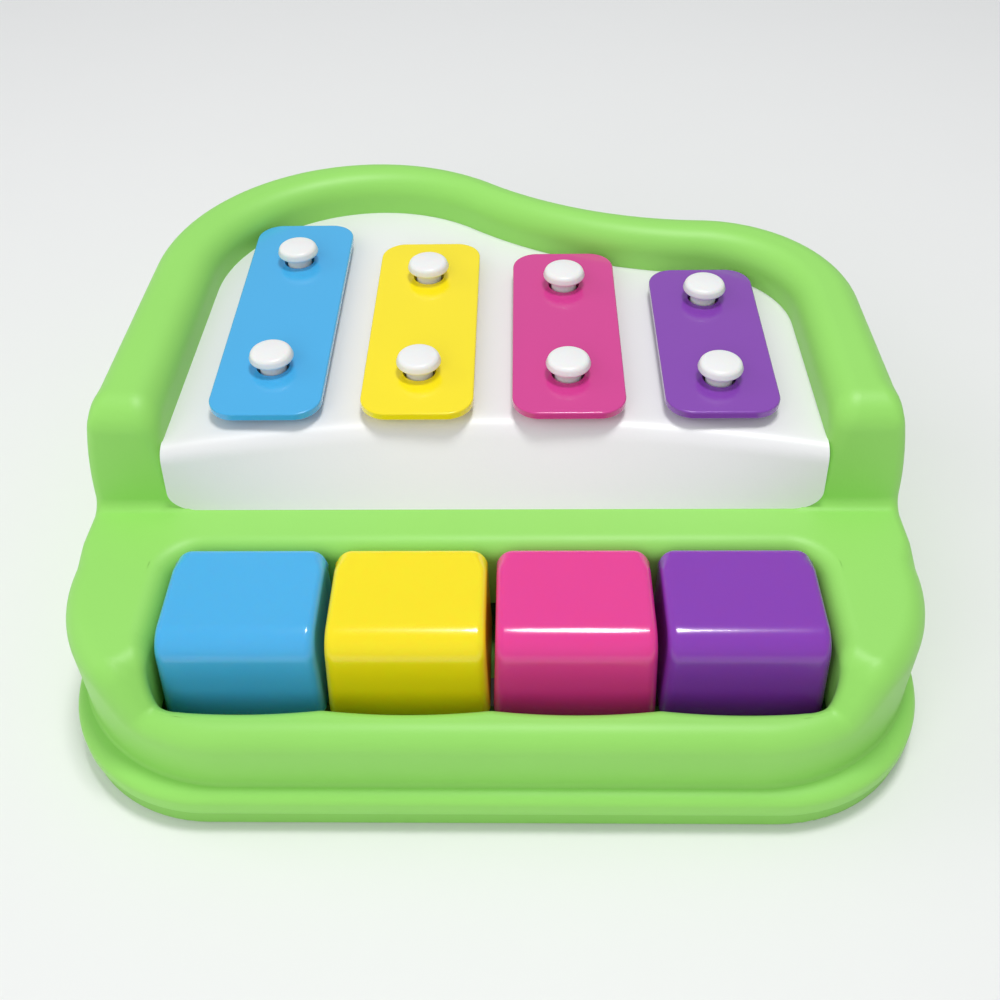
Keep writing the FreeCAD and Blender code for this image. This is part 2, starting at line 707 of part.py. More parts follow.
def make_base_tray():
    """Lower case: shallow tray with a locating lip, screw pillars, rod bearings and felt rib."""
    body = new_body("base_tray")
    sketch = sketch_on(body, "XY_Plane")
    outline(sketch, "base_inset")
    pad(body, sketch, "base_height")
    round_edges(body, "base_edge", lambda edge, shape: edge.BoundBox.ZMax < 0.01)
    sketch = sketch_on(body, "XY_Plane", "base_floor")
    outline(sketch, "flange_width + shell_wall", "wall_lead")
    pocket(body, sketch, "base_height", upwards=True)
    sketch = sketch_on(body, "XY_Plane", "base_floor / 2")
    outline(sketch, "flange_width + shell_wall + seat_clearance", "wall_lead")
    outline(sketch, "flange_width + shell_wall + seat_clearance + lip_wall", "wall_lead")
    pad(body, sketch, "base_height + lip_height - base_floor / 2")

    sketch = sketch_on(body, "XY_Plane", "base_floor / 2")
    circles(sketch, CHEEK_SCREWS + RIM_SCREWS, "pillar_radius")
    pad(body, sketch, "boss_bottom - base_floor / 2")
    sketch = sketch_on(body, "XY_Plane", "base_floor / 2")
    for step in range(-2, 3):
        middle = "%d * bar_pitch" % step
        rectangle(sketch, middle + " - bearing_width / 2", "rod_y - bearing_depth / 2",
                  middle + " + bearing_width / 2", "rod_y + bearing_depth / 2")
    pad(body, sketch, "bearing_height - base_floor / 2")
    sketch = sketch_on(body, "XY_Plane", "base_floor / 2")
    circles(sketch, [(key_x(i), "spring_y") for i in range(4)], "spigot_radius")
    pad(body, sketch, "base_floor / 2 + spigot_height")
    sketch = sketch_on(body, "XY_Plane", "base_floor / 2")
    rectangle(sketch, "-felt_width / 2", "rest_y - rest_depth / 2", "felt_width / 2", "rest_y + rest_depth / 2")
    pad(body, sketch, "rest_rib - base_floor / 2")

    sketch = sketch_on(body, "YZ_Plane")
    circle(sketch, "rod_y", "rod_z", "rod_radius + rod_fit")
    pocket(body, sketch, "4 * case_half_width", symmetric=True)
    sketch = sketch_on(body, "XY_Plane")
    circles(sketch, CHEEK_SCREWS + RIM_SCREWS, "screw_head_radius + seat_clearance")
    pocket(body, sketch, "screw_sink", upwards=True)
    sketch = sketch_on(body, "XY_Plane")
    circles(sketch, CHEEK_SCREWS + RIM_SCREWS, "screw_radius + screw_fit")
    pocket(body, sketch, "2 * boss_bottom", upwards=True)
    return body


def fascia_arc(sketch, shift):
    """Arc of the fascia's top edge in plan, furthest back in the middle."""
    half = "(deck_half_width - deck_fit)"
    sagitta = "(fascia_middle_y - fascia_end_y)"
    radius = "((%s * %s + %s * %s) / (2 * %s))" % (half, half, sagitta, sagitta, sagitta)
    centre = Vec(0, value("fascia_middle_y - %s + %s" % (radius, shift)), 0)
    end_y = value("fascia_end_y + %s" % shift)
    left = Vec(-value(half), end_y, 0)
    right = Vec(value(half), end_y, 0)
    arc = sketch.addGeometry(arc_between(centre, value(radius), right, left))
    dimension(sketch, "Radius", (arc,), radius)
    fix_point(sketch, arc, 1, half, "fascia_end_y + %s" % shift)
    dimension(sketch, "DistanceX", (-1, 1, arc, 2), "-" + half)
    dimension(sketch, "DistanceY", (-1, 1, arc, 2), "fascia_end_y + %s" % shift)
    return arc, left, right


def make_deck_panel():
    """White insert: flat deck with pin holes and hammer windows, and a fascia that leans back in the middle."""
    body = new_body("deck_panel")
    half = "deck_half_width - deck_fit"
    sketch = sketch_on(body, "XY_Plane", "deck_bottom")
    outline(sketch, "deck_rim_width + deck_fit", front="fascia_end_y", front_half=half)
    pad(body, sketch, "deck_wall")
    sketch = sketch_on(body, "XY_Plane", "deck_top")
    arc, left, right = fascia_arc(sketch, "0")
    chord = sketch.addGeometry(Part.LineSegment(left, right))
    sketch.addConstraint(Sketcher.Constraint("Coincident", chord, 1, arc, 2))
    sketch.addConstraint(Sketcher.Constraint("Coincident", chord, 2, arc, 1))
    pocket(body, sketch, "2 * deck_wall")

    foot = sketch_on(body, "XY_Plane", "ledge_height")
    rectangle(foot, "-(%s)" % half, "fascia_foot_y", half, "fascia_foot_y + fascia_wall")
    crest = sketch_on(body, "XY_Plane", "deck_top")
    front, left, right = fascia_arc(crest, "0")
    back, far_left, far_right = fascia_arc(crest, "fascia_wall")
    for start, end, ends in ((left, far_left, (2, 2)), (right, far_right, (1, 1))):
        side = crest.addGeometry(Part.LineSegment(start, end))
        crest.addConstraint(Sketcher.Constraint("Coincident", side, 1, front, ends[0]))
        crest.addConstraint(Sketcher.Constraint("Coincident", side, 2, back, ends[1]))
    loft = body.newObject("PartDesign::AdditiveLoft", "fascia")
    loft.Profile = foot
    loft.Sections = [(crest, [""])]
    loft.Ruled = True
    bottom = value("ledge_height") + 0.01
    round_edges(body, "fascia_corner",
                lambda edge, shape: edge.BoundBox.ZMax < bottom and edge.BoundBox.XLength < 0.01)

    for i in range(4):
        sketch = sketch_on(body, "XY_Plane", "deck_top")
        circles(sketch, [(key_x(i), y) for y in pin_places(i)], "pin_shank_radius + pin_fit")
        pocket(body, sketch, "2 * deck_wall")
        sketch = sketch_on(body, "XY_Plane", "deck_top")
        swing = "(%s - rod_z) * sin(press_angle)" % hammer_centre(i)
        rectangle(sketch, key_x(i) + " - hammer_radius - hammer_room",
                  "%s - %s - hammer_radius - hammer_room" % (bar_middle(i), swing),
                  key_x(i) + " + hammer_radius + hammer_room",
                  "%s + hammer_radius + hammer_room" % bar_middle(i), "hammer_room")
        pocket(body, sketch, "2 * deck_wall")
    sketch = sketch_on(body, "XY_Plane", "deck_bottom")
    circles(sketch, DECK_SCREWS, "deck_screw_radius + screw_fit")
    pocket(body, sketch, "deck_screw_bite", upwards=True)
    return body


def pin_places(index):
    """Plan Y of a bar's two pins, at the bar's still points."""
    length = bar_length(index)
    return ("bar_front_y + pin_share * %s" % length, "bar_front_y + (1 - pin_share) * %s" % length)


def make_bar(index):
    """Chime bar: painted steel strip with round corners and two loose holes."""
    body = new_body("bar_" + COLOURS[index], key_x(index), "bar_front_y", "bar_bottom")
    length = bar_length(index)
    sketch = sketch_on(body, "XY_Plane")
    rectangle(sketch, "-bar_width / 2", "0", "bar_width / 2", length, "bar_corner")
    pad(body, sketch, "bar_thickness")
    round_edges(body, "bar_edge", lambda edge, shape: edge.BoundBox.ZLength < 0.01)
    sketch = sketch_on(body, "XY_Plane", "bar_thickness")
    circles(sketch, [("0", y + " - bar_front_y") for y in pin_places(index)], "bar_hole_radius")
    pocket(body, sketch)
    return [body]


def make_pins(index):
    """Two push pins with mushroom heads, barbed under the deck, and a soft ring under the bar at each."""
    pins = []
    for end, y in zip(("front", "rear"), pin_places(index)):
        body = new_body("pin_%s_%s" % (COLOURS[index], end), key_x(index), y, "bar_top")
        sketch = sketch_on(body, "XZ_Plane")
        grip = "(bar_thickness + cushion_height + deck_wall)"
        loop(sketch, [
            ("0", "-%s - pin_tail" % grip),
            ("pin_shank_radius - 2 * pin_barb", "-%s - pin_tail" % grip),
            ("pin_shank_radius + pin_barb", "-%s - pin_tail + pin_barb_height" % grip),
            ("pin_shank_radius + pin_barb", "-%s - pin_fit" % grip),
            ("pin_shank_radius", "-%s - pin_fit" % grip),
            ("pin_shank_radius", "pin_shank_show"),
            ("pin_head_radius", "pin_shank_show", "pin_head_edge"),
            ("pin_head_radius", "pin_shank_show + pin_head_height", "pin_head_edge"),
            ("0", "pin_shank_show + pin_head_height"),
        ])
        revolve(body, sketch)
        pins.append(body)
    cushions = new_body("cushions_" + COLOURS[index], key_x(index), "0", "deck_top")
    sketch = sketch_on(cushions, "XY_Plane")
    circles(sketch, [("0", y) for y in pin_places(index)], "cushion_radius")
    circles(sketch, [("0", y) for y in pin_places(index)], "pin_shank_radius + pin_fit")
    pad(cushions, sketch, "cushion_height")
    return pins + [cushions]


def leaning_block(body, kind, low, high):
    """Block between two upright rectangles, each (half width, front, back, height), with flat faces."""
    block = body.newObject(kind, "block")
    block.Placement.Rotation = FreeCAD.Rotation(Vec(1, 0, 0), 90)
    for prefix, (half, front, back, height), end in (("", low, "min"), ("2", high, "max")):
        bind(block, "X%smin" % prefix, "-(%s)" % half)
        bind(block, "X%smax" % prefix, half)
        bind(block, "Z%smin" % prefix, "-(%s)" % back)
        bind(block, "Z%smax" % prefix, "-(%s)" % front)
        bind(block, "Y" + end, height)


def make_key_cap(index):
    """Key cap: hollow block with soft edges, drafted sides and two bosses that stand on the lever."""
    body = new_body("key_cap_" + COLOURS[index], "key_pitch * %s" % (index - 1.5))
    half = "key_width / 2"
    leaning_block(body, "PartDesign::AdditiveWedge", (half, "key_front_y", "key_back_y", "key_bottom"),
                  (half + " - key_side_draft", "key_front_y + key_front_draft", "key_back_y", "key_top"))
    crest = value("key_top") - 0.01
    middle = value("(key_front_y + key_back_y) / 2")
    round_edges(body, "key_front_round",
                lambda edge, shape: edge.BoundBox.ZMin > crest and edge.BoundBox.YMax < middle)
    bottom = value("key_bottom") + 0.01
    round_edges(body, "key_round",
                lambda edge, shape: edge.BoundBox.ZMax > bottom and fold(edge, shape) > 25)
    inner = "key_width / 2 - key_wall"
    front = "key_front_y + key_wall"
    back = "key_back_y - key_wall"
    leaning_block(body, "PartDesign::SubtractiveWedge", (inner, front, back, "key_bottom"),
                  (inner + " - key_side_draft", front + " + key_front_draft", back, "key_top - 1.5 * key_wall"))
    over_lever = "(bar_pitch - key_pitch) * %s" % (index - 1.5)
    places = [(over_lever, "key_boss_front_y"), (over_lever, "key_boss_back_y")]
    sketch = sketch_on(body, "XY_Plane", "lever_top")
    circles(sketch, places, "key_boss_radius")
    pad(body, sketch, "key_top - key_wall - lever_top")
    sketch = sketch_on(body, "XY_Plane", "lever_top")
    circles(sketch, places, "screw_radius + screw_fit")
    pocket(body, sketch, "key_screw_grip + screw_radius", upwards=True)
    return body


def make_key_lever(index):
    """Lever under a key: arm to the front, hub on the rod, arm to the back with the hammer post."""
    body = new_body("key_lever_" + COLOURS[index], key_x(index))
    post_top = "(%s + hammer_dome - hammer_height)" % hammer_centre(index)
    post_front = bar_middle(index) + " - post_depth / 2"
    post_back = bar_middle(index) + " + post_depth / 2"
    sketch = sketch_on(body, "YZ_Plane")
    loop(sketch, [
        ("lever_front_y", "lever_bottom"),
        ("rod_y", "lever_bottom"),
        ("rod_y + hub_radius", "arm_bottom"),
        (post_back, "arm_bottom"),
        (post_back, post_top),
        (post_front, post_top),
        (post_front, "arm_top", "hub_radius"),
        ("rod_y + 2 * hub_radius", "arm_top"),
        ("rod_y + hub_radius", "rod_z"),
        ("rod_y - hub_radius", "rod_z"),
        ("rod_y - 2 * hub_radius", "lever_top"),
        ("lever_front_y", "lever_top"),
    ])
    pad(body, sketch, "lever_width", symmetric=True)
    sketch = sketch_on(body, "YZ_Plane")
    circle(sketch, "rod_y", "rod_z", "hub_radius")
    pad(body, sketch, "bearing_gap - 2 * hub_play", symmetric=True)
    sketch = sketch_on(body, "YZ_Plane")
    circle(sketch, "rod_y", "rod_z", "rod_radius + rod_fit")
    pocket(body, sketch, "2 * bar_pitch", symmetric=True)
    sketch = sketch_on(body, "XY_Plane", post_top + " - post_stub_height / 2")
    circle(sketch, "0", bar_middle(index), "post_stub_radius")
    pad(body, sketch, "1.5 * post_stub_height")
    places = [("0", "key_boss_front_y"), ("0", "key_boss_back_y")]
    for radius, length in (("screw_head_radius + seat_clearance", "screw_head_height"),
                           ("screw_radius + screw_fit", "2 * lever_top")):
        sketch = sketch_on(body, "XY_Plane", "lever_bottom")
        circles(sketch, places, radius)
        pocket(body, sketch, length, upwards=True)
    return body


def make_hammer_head(index):
    """Hammer head: domed plug pushed over the stub of its post."""
    label = "hammer_head_" + COLOURS[index]
    bottom = "(%s + hammer_dome - hammer_height)" % hammer_centre(index)
    barrel = doc.addObject("Part::Cylinder", label + "_barrel")
    bind(barrel, "Radius", "hammer_radius")
    bind(barrel, "Height", "hammer_height")
    ball = doc.addObject("Part::Sphere", label + "_ball")
    bind(ball, "Radius", "hammer_dome")
    socket = doc.addObject("Part::Cylinder", label + "_socket")
    bind(socket, "Radius", "post_stub_radius + screw_fit")
    bind(socket, "Height", "post_stub_height + screw_fit")
    for thing, height in ((barrel, bottom), (ball, hammer_centre(index)), (socket, bottom)):
        place(thing, key_x(index), bar_middle(index), height)
    domed = boolean("Part::Common", label + "_domed", barrel, [ball])
    return boolean("Part::Cut", label, domed, [socket])


def make_screws(label, places, bottom, head_radius, head_height, radius, length, x="0"):
    """Group of pan-head screws that point up, each a head and a shank."""
    body = new_body(label, x)
    sketch = sketch_on(body, "XY_Plane", bottom)
    circles(sketch, places, head_radius)
    pad(body, sketch, head_height)
    sketch = sketch_on(body, "XY_Plane", bottom)
    circles(sketch, places, radius)
    pad(body, sketch, length)
    return body


def make_rod():
    """Steel rod that all four levers turn on, held in the bearings by a push-on clip at each end."""
    rod = doc.addObject("Part::Cylinder", "pivot_rod")
    rod.Label = "pivot_rod"
    bind(rod, "Radius", "rod_radius")
    bind(rod, "Height", "2 * rod_half")
    rod.Placement.Rotation = FreeCAD.Rotation(Vec(0, 1, 0), 90)
    place(rod, "-rod_half", "rod_y", "rod_z")
    clips = new_body("rod_clips")
    face = "(2 * bar_pitch + bearing_width / 2 + felt_gap)"
    for start in (face, "-%s - clip_thickness" % face):
        sketch = sketch_on(clips, "YZ_Plane", start)
        circle(sketch, "rod_y", "rod_z", "clip_radius")
        circle(sketch, "rod_y", "rod_z", "rod_radius + screw_fit")
        pad(clips, sketch, "clip_thickness")
    return [rod, clips]


def make_felt(label, front, depth, low, high):
    """Felt strip across all four levers."""
    strip = doc.addObject("Part::Box", label)
    strip.Label = label
    bind(strip, "Length", "felt_width")
    bind(strip, "Width", depth)
    bind(strip, "Height", "%s - (%s)" % (high, low))
    place(strip, "-felt_width / 2", front, low)
    return strip


def biarc(start, heading, end, last_heading):
    """Two arcs that leave start along one direction and reach end along the other."""
    chord = end - start
    both = heading + last_heading
    square = both.dot(both) - 4
    half = chord.dot(both)
    reach = chord.dot(chord) / (2 * half)
    if abs(square) > 1e-9:
        reach = (half - math.sqrt(half * half - square * chord.dot(chord))) / square
    middle = (start + heading * reach + end - last_heading * reach) * 0.5
    edges = []
    for point, direction, target in ((start, heading, middle), (end, last_heading * -1, middle)):
        span = target - point
        normal = (span - direction * span.dot(direction)).normalize()
        radius = span.dot(span) / (2 * span.dot(normal))
        centre = point + normal * radius
        halfway = (((point - centre) + (target - centre)).normalize()) * radius + centre
        edges.append((point, halfway, target))
    first, second = edges
    return [Part.Arc(*first).toShape(), Part.Arc(second[2], second[1], second[0]).toShape()]


def make_key_spring(index):
    """Return spring: a steel coil on a spigot of the tray, pressing up on the lever in front of the rod."""
    radius = value("spring_radius")
    wire = value("spring_wire / 2")
    height = value("lever_bottom - base_floor - 2 * felt_gap - spring_wire")
    quarters = int(round(4 * value("spring_turns")))
    rise = height / quarters
    steep = math.hypot(rise, radius * math.pi / 2)

    def point(step):
        return Vec(radius * math.cos(step * math.pi / 2), radius * math.sin(step * math.pi / 2), rise * step)

    def heading(step):
        across = radius * math.pi / 2 / steep
        return Vec(-across * math.sin(step * math.pi / 2), across * math.cos(step * math.pi / 2), rise / steep)

    edges = []
    for step in range(quarters):
        edges += biarc(point(step), heading(step), point(step + 1), heading(step + 1))
    section = Part.Wire([Part.Circle(point(0), heading(0), wire).toShape()])
    coil = Part.Wire(edges).makePipeShell([section], True, False)
    spring = doc.addObject("Part::Feature", "key_spring_" + COLOURS[index])
    spring.Label = "key_spring_" + COLOURS[index]
    spring.Shape = coil
    place(spring, key_x(index), "spring_y", "base_floor + felt_gap + spring_wire / 2")
    return spring


subparts = [make_base_tray(), *make_top_shell(), make_deck_panel()]
subparts += make_rod()
subparts.append(make_felt("key_stop_strip", "stop_front_y", "stop_depth", "base_floor", "stop_height"))
subparts.append(make_felt("hammer_rest_strip", "rest_y - rest_depth / 2", "rest_depth", "rest_rib", "rest_height"))
subparts.append(make_screws("case_screws", CHEEK_SCREWS + RIM_SCREWS, "screw_sink - screw_head_height",
                            "screw_head_radius", "screw_head_height", "screw_radius",
                            "boss_bottom + case_screw_grip - screw_sink + screw_head_height"))
subparts.append(make_screws("deck_screws", DECK_SCREWS, "deck_bottom - shell_wall - screw_head_height",
                            "deck_screw_head", "screw_head_height", "deck_screw_radius",
                            "screw_head_height + shell_wall + deck_screw_bite - felt_gap"))
for index in range(4):
    subparts += make_bar(index) + make_pins(index)
    subparts += [make_key_cap(index), make_key_lever(index), make_hammer_head(index), make_key_spring(index)]
    key_screw_places = [("0", "key_boss_front_y"), ("0", "key_boss_back_y")]
    subparts.append(make_screws("key_screws_" + COLOURS[index], key_screw_places, "lever_bottom",
                                "screw_head_radius", "screw_head_height", "screw_radius",
                                "lever_top - lever_bottom + key_screw_grip", key_x(index)))
doc.recompute()

faults = []
for thing in doc.Objects:
    if "Invalid" in thing.State or "Error" in thing.State:
        faults.append("%s: %s" % (thing.Label, thing.getStatusString()))
    if thing.TypeId == "PartDesign::Pocket" and thing.Shape.Volume >= thing.BaseFeature.Shape.Volume:
        faults.append("%s cuts nothing" % thing.Label)
for piece in subparts:
    if piece.Shape.isNull() or not piece.Shape.isValid() or not piece.Shape.Solids:
        faults.append("%s has no sound solid" % piece.Label)
if faults:
    raise SystemExit("\n".join(faults))

os.makedirs("parts", exist_ok=True)
for piece in subparts:
    piece.Shape.exportStep("parts/%s.step" % piece.Label)
print("%d sub-parts written" % len(subparts))
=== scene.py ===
import math

import bpy
import numpy as np
from mathutils import Matrix


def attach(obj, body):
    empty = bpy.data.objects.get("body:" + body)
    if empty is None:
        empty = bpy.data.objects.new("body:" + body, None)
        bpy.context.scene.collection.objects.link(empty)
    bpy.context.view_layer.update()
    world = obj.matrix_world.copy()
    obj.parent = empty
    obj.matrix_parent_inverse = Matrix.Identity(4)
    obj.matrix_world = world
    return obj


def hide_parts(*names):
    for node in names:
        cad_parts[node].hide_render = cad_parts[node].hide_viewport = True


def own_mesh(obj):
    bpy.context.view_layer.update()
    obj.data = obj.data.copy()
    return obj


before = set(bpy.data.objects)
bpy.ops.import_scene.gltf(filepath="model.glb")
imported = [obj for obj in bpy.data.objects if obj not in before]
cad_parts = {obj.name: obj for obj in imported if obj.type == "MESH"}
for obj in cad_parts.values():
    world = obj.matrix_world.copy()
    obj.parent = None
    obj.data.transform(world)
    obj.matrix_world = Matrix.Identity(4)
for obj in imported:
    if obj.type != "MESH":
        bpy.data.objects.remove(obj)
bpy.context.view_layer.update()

# Upper case. One thick moulding in satin green plastic: a flange round the foot, drafted walls, a rolled rim
# round the deck, two cheeks, a low front rail and the key well. It drops over the base tray and is screwed
# up from below. Plan sizes are in millimetres from the middle of the front edge, heights from the floor.
HALF_DEPTH = 117.7
BIG, BIG_RADIUS = np.array((-44.3, 162.5)), 72.88
SMALL, SMALL_RADIUS = np.array((66.7, 142.0)), 51.6
WAIST_RADIUS = 115.4
RAIL, LEDGE, RIM = 31.5, 43.5, 77.0
PROFILE_FRONT, PROFILE_BACK = -20.0, 260.0
SLOPE_START, SLOPE_END, STEP_START, STEP_END = 12.5, 22.0, 79.8, 84.2
SLOPE_HOLLOW, SLOPE_CREST, STEP_HOLLOW, STEP_CREST = 2.0, 8.0, 3.5, 10.0
FRONT_ROLL, STEP_ROLL, RIM_ROLL, RIM_INNER = 6.5, 3.5, 8.0, 8.0
RAIL_ROLL, WELL_ROLL = 2.6, 6.0


def touching(start, start_radius, lobe, radius, hand):
    """Angle of the outward normal of the line that touches two circles on one side: the direction from one
    middle to the other, turned by the angle whose cosine is the difference of radii over the distance."""
    run = lobe - start
    angle = math.atan2(run[1], run[0]) - hand * math.acos((start_radius - radius) / math.hypot(*run))
    return angle % (2 * math.pi) if hand < 0 else angle


def facing(start, end):
    """Angle of the direction from one plan point to another."""
    return math.atan2(end[1] - start[1], end[0] - start[0])


def lobed(inset, shift):
    """The arcs of the small lobe, the waist and the big lobe, moved in by inset and towards the middle by
    shift: the waist's middle is where circles about both lobes, of each radius plus the waist's, cross."""
    big, small = BIG + (shift, 0), SMALL - (shift, 0)
    run = small - big
    apart = math.hypot(*run)
    to_big, to_small = BIG_RADIUS + WAIST_RADIUS, SMALL_RADIUS + WAIST_RADIUS
    ahead = (to_big ** 2 - to_small ** 2 + apart ** 2) / (2 * apart)
    waist = big + (run * ahead + np.array((-run[1], run[0])) * math.sqrt(to_big ** 2 - ahead ** 2)) / apart
    small_arc = [*small, SMALL_RADIUS - inset, 0.0, facing(small, waist)]
    waist_arc = [*waist, WAIST_RADIUS + inset, facing(waist, small), facing(waist, big)]
    big_arc = [*big, BIG_RADIUS - inset, facing(big, waist), math.pi]
    return small_arc, waist_arc, big_arc


def case_runs(lead, half, radius):
    """Plan outline of the case, anticlockwise from the left: side, corner, front, corner, side and lobes.
    The front stands at lead, and its corners have this radius about middles at plus and minus half."""
    left, right = np.array((-half, radius + lead)), np.array((half, radius + lead))
    small_arc, waist_arc, big_arc = lobed(0.0, 0.0)
    left_out = touching(left, radius, BIG, BIG_RADIUS, -1)
    right_out = touching(right, radius, SMALL, SMALL_RADIUS, 1)
    small_arc[3], big_arc[4] = right_out, left_out
    left_way = np.array((math.cos(left_out), math.sin(left_out)))
    right_way = np.array((math.cos(right_out), math.sin(right_out)))
    return [(*(BIG + BIG_RADIUS * left_way), *(left + radius * left_way)),
            (*left, radius, left_out, 1.5 * math.pi),
            (-half, lead, half, lead),
            (*right, radius, 1.5 * math.pi, 2 * math.pi + right_out),
            (*(right + radius * right_way), *(SMALL + SMALL_RADIUS * right_way)),
            small_arc, waist_arc, big_arc]


def chain(runs, t):
    """Points and inward normals on a chain of runs: the whole part of t picks the run and the rest is the
    share along it. A line is x0, y0, x1, y1 and an arc is its middle, its radius and its two angles."""
    which = np.clip(np.floor(t).astype(int), 0, len(runs) - 1)
    point, normal = np.zeros((2, len(t), 2))
    for i, run in enumerate(runs):
        here = which == i
        share = (t[here] - i)[:, None]
        if len(run) == 4:
            start, end = np.array(run[:2]), np.array(run[2:])
            point[here] = start + share * (end - start)
            normal[here] = np.array((start[1] - end[1], end[0] - start[0])) / math.hypot(*(end - start))
        else:
            angle = run[3] + share * (run[4] - run[3])
            radial = np.concatenate((np.cos(angle), np.sin(angle)), 1)
            point[here] = np.array(run[:2]) + run[2] * radial
            normal[here] = radial * (-1 if run[4] > run[3] else 1)
    return point, normal


def rounded(corners, radii):
    """A chain of straight runs with an arc at each inner corner: y, z and the angle of travel. Each arc
    starts its radius times the tangent of half the turn before the corner."""
    corners = np.array(corners)
    run = np.diff(corners, axis=0)
    way = np.arctan2(run[:, 1], run[:, 0])
    y, z, angle = [corners[:1, 0]], [corners[:1, 1]], [way[:1]]
    for corner, radius, before, after in zip(corners[1:-1], radii, way[:-1], way[1:]):
        side = radius * np.sign(after - before)
        ahead = np.array((math.cos(before), math.sin(before)))
        start = corner - abs(side) * abs(math.tan((after - before) / 2)) * ahead
        turn = np.linspace(before, after, 60)
        y.append(start[0] - side * math.sin(before) + side * np.sin(turn))
        z.append(start[1] + side * math.cos(before) - side * np.cos(turn))
        angle.append(turn)
    return [np.concatenate(part + [end]) for part, end in
            ((y, corners[-1:, 0]), (z, corners[-1:, 1]), (angle, way[-1:]))]


# side profile of the case from the front rail up the slope, along the ledge and up the step to the rim
side_y, side_z, side_turn = rounded(
    ((PROFILE_FRONT, RAIL), (SLOPE_START, RAIL), (SLOPE_END, LEDGE),
     (STEP_START, LEDGE), (STEP_END, RIM), (PROFILE_BACK, RIM)),
    (SLOPE_HOLLOW, SLOPE_CREST, STEP_HOLLOW, STEP_CREST))
side_run = np.concatenate(([0], np.cumsum(np.hypot(np.diff(side_y), np.diff(side_z)))))


def under(y, depth):
    """Height and slope of the side profile's parallel at a depth under it, read at plan y: the profile's own
    point lies depth times the slope's sine nearer the player, and is found by short steps towards it."""
    at, slope = y, 0 * y
    for _ in range(300):
        slope = np.interp(at, side_y, side_turn)
        at = at + 0.25 * (y - depth * np.sin(slope) - at)
    return np.interp(at, side_y, side_z) - depth * np.cos(slope), slope


def stack(plan, z):
    """Plan points and heights as one array of points."""
    return np.concatenate((plan, np.broadcast_to(z, plan.shape[:-1])[..., None]), -1)


def turning(start, end, rows):
    """Rows of unit directions from start to end, turning at an even rate in the plane of the two."""
    share = np.linspace(0, 1, rows)[:, None, None]
    angle = np.arccos(np.clip((start * end).sum(-1, keepdims=True), -1, 1))
    return (np.sin((1 - share) * angle) * start + np.sin(share * angle) * end) / np.sin(angle)


def up_normal(slope, way=(0.0, 1.0)):
    """Normal of the side profile where it climbs at this angle towards a way in plan: minus the sine along
    that way and the cosine upwards."""
    return stack(-np.sin(slope)[:, None] * np.array(way), np.cos(slope))


FLANGE_HALF, FLANGE_CORNER = 76.38, 44.0
WALL_LEAD, WALL_HALF, WALL_CORNER = 3.9, 70.4, 50.0
FLANGE_RUNS = case_runs(0.0, FLANGE_HALF, FLANGE_CORNER)
WALL_RUNS = case_runs(WALL_LEAD, WALL_HALF, WALL_CORNER)
FLANGE_LOW, FLANGE_SHOULDER, FLANGE_TOP, FLANGE_WIDTH = 6.0, 9.7, 12.5, 1.2
FLANGE_REACH, FOOT_FILLET, LEAN_FOOT, LEAN = 0.86, 1.8, 46.0, 2.4


def wall_inset(z):
    """How far the wall stands in from the outline at a height: upright, then leaning in with the square of
    the height above the lean's foot."""
    return FLANGE_WIDTH + LEAN * (np.maximum(z - LEAN_FOOT, 0) / (RIM - RIM_ROLL - LEAN_FOOT)) ** 2


def flange_and_wall(t, top):
    """Rows from under the flange, over its rounded edge and up the wall to a height at each station: the
    flange goes from its own outline most of the way to the wall's foot along a quarter ellipse, then comes
    the foot's fillet, half as wide as it is tall."""
    outer, flange_in = chain(FLANGE_RUNS, t)
    foot, inward = chain(WALL_RUNS, t)
    edge = [stack(outer + inset * flange_in, FLANGE_LOW + rise) for inset, rise in
            ((3.5, 0), (0.6, 0), (0.2, 0.1), (0, 0.5), (0, 2), (0, FLANGE_SHOULDER - FLANGE_LOW))]
    turn = np.linspace(0, math.pi / 2, 9)[1:, None, None]
    reach = FLANGE_REACH * (1 - np.cos(turn))
    foot_in = foot + FLANGE_WIDTH * inward
    roll_z = FLANGE_SHOULDER + (FLANGE_TOP - FLANGE_SHOULDER) * np.sin(turn[..., 0])
    roll = stack(outer + reach * (foot_in - outer), roll_z)
    low = FLANGE_TOP + np.array((0.0, 0.15, 0.45, 1.0, FOOT_FILLET))[:, None]
    share = np.linspace(0, 1, 10)[1:, None]
    z = np.concatenate((np.broadcast_to(low, (5, len(t))), low[-1] + share * (top - low[-1])))
    below = np.maximum(FOOT_FILLET - z + FLANGE_TOP, 0)
    fillet = 0.5 * (FOOT_FILLET - np.sqrt(np.maximum(FOOT_FILLET ** 2 - below ** 2, 0)))
    wall = stack(foot + (wall_inset(z) - fillet)[..., None] * inward, z)
    return np.concatenate((np.array(edge), roll, wall))


def outer_roll(t, middle, z, top_normal, radius):
    """Roll over the top outer edge: a ball of that radius touches the wall and the top, and each row is its
    middle plus the radius times a direction that turns from the wall's normal to the top's."""
    inward = chain(WALL_RUNS, t)[1]
    ways = turning(stack(-inward, 0.0), top_normal, 13)
    return stack(middle, z) + np.broadcast_to(radius, t.shape)[:, None] * ways


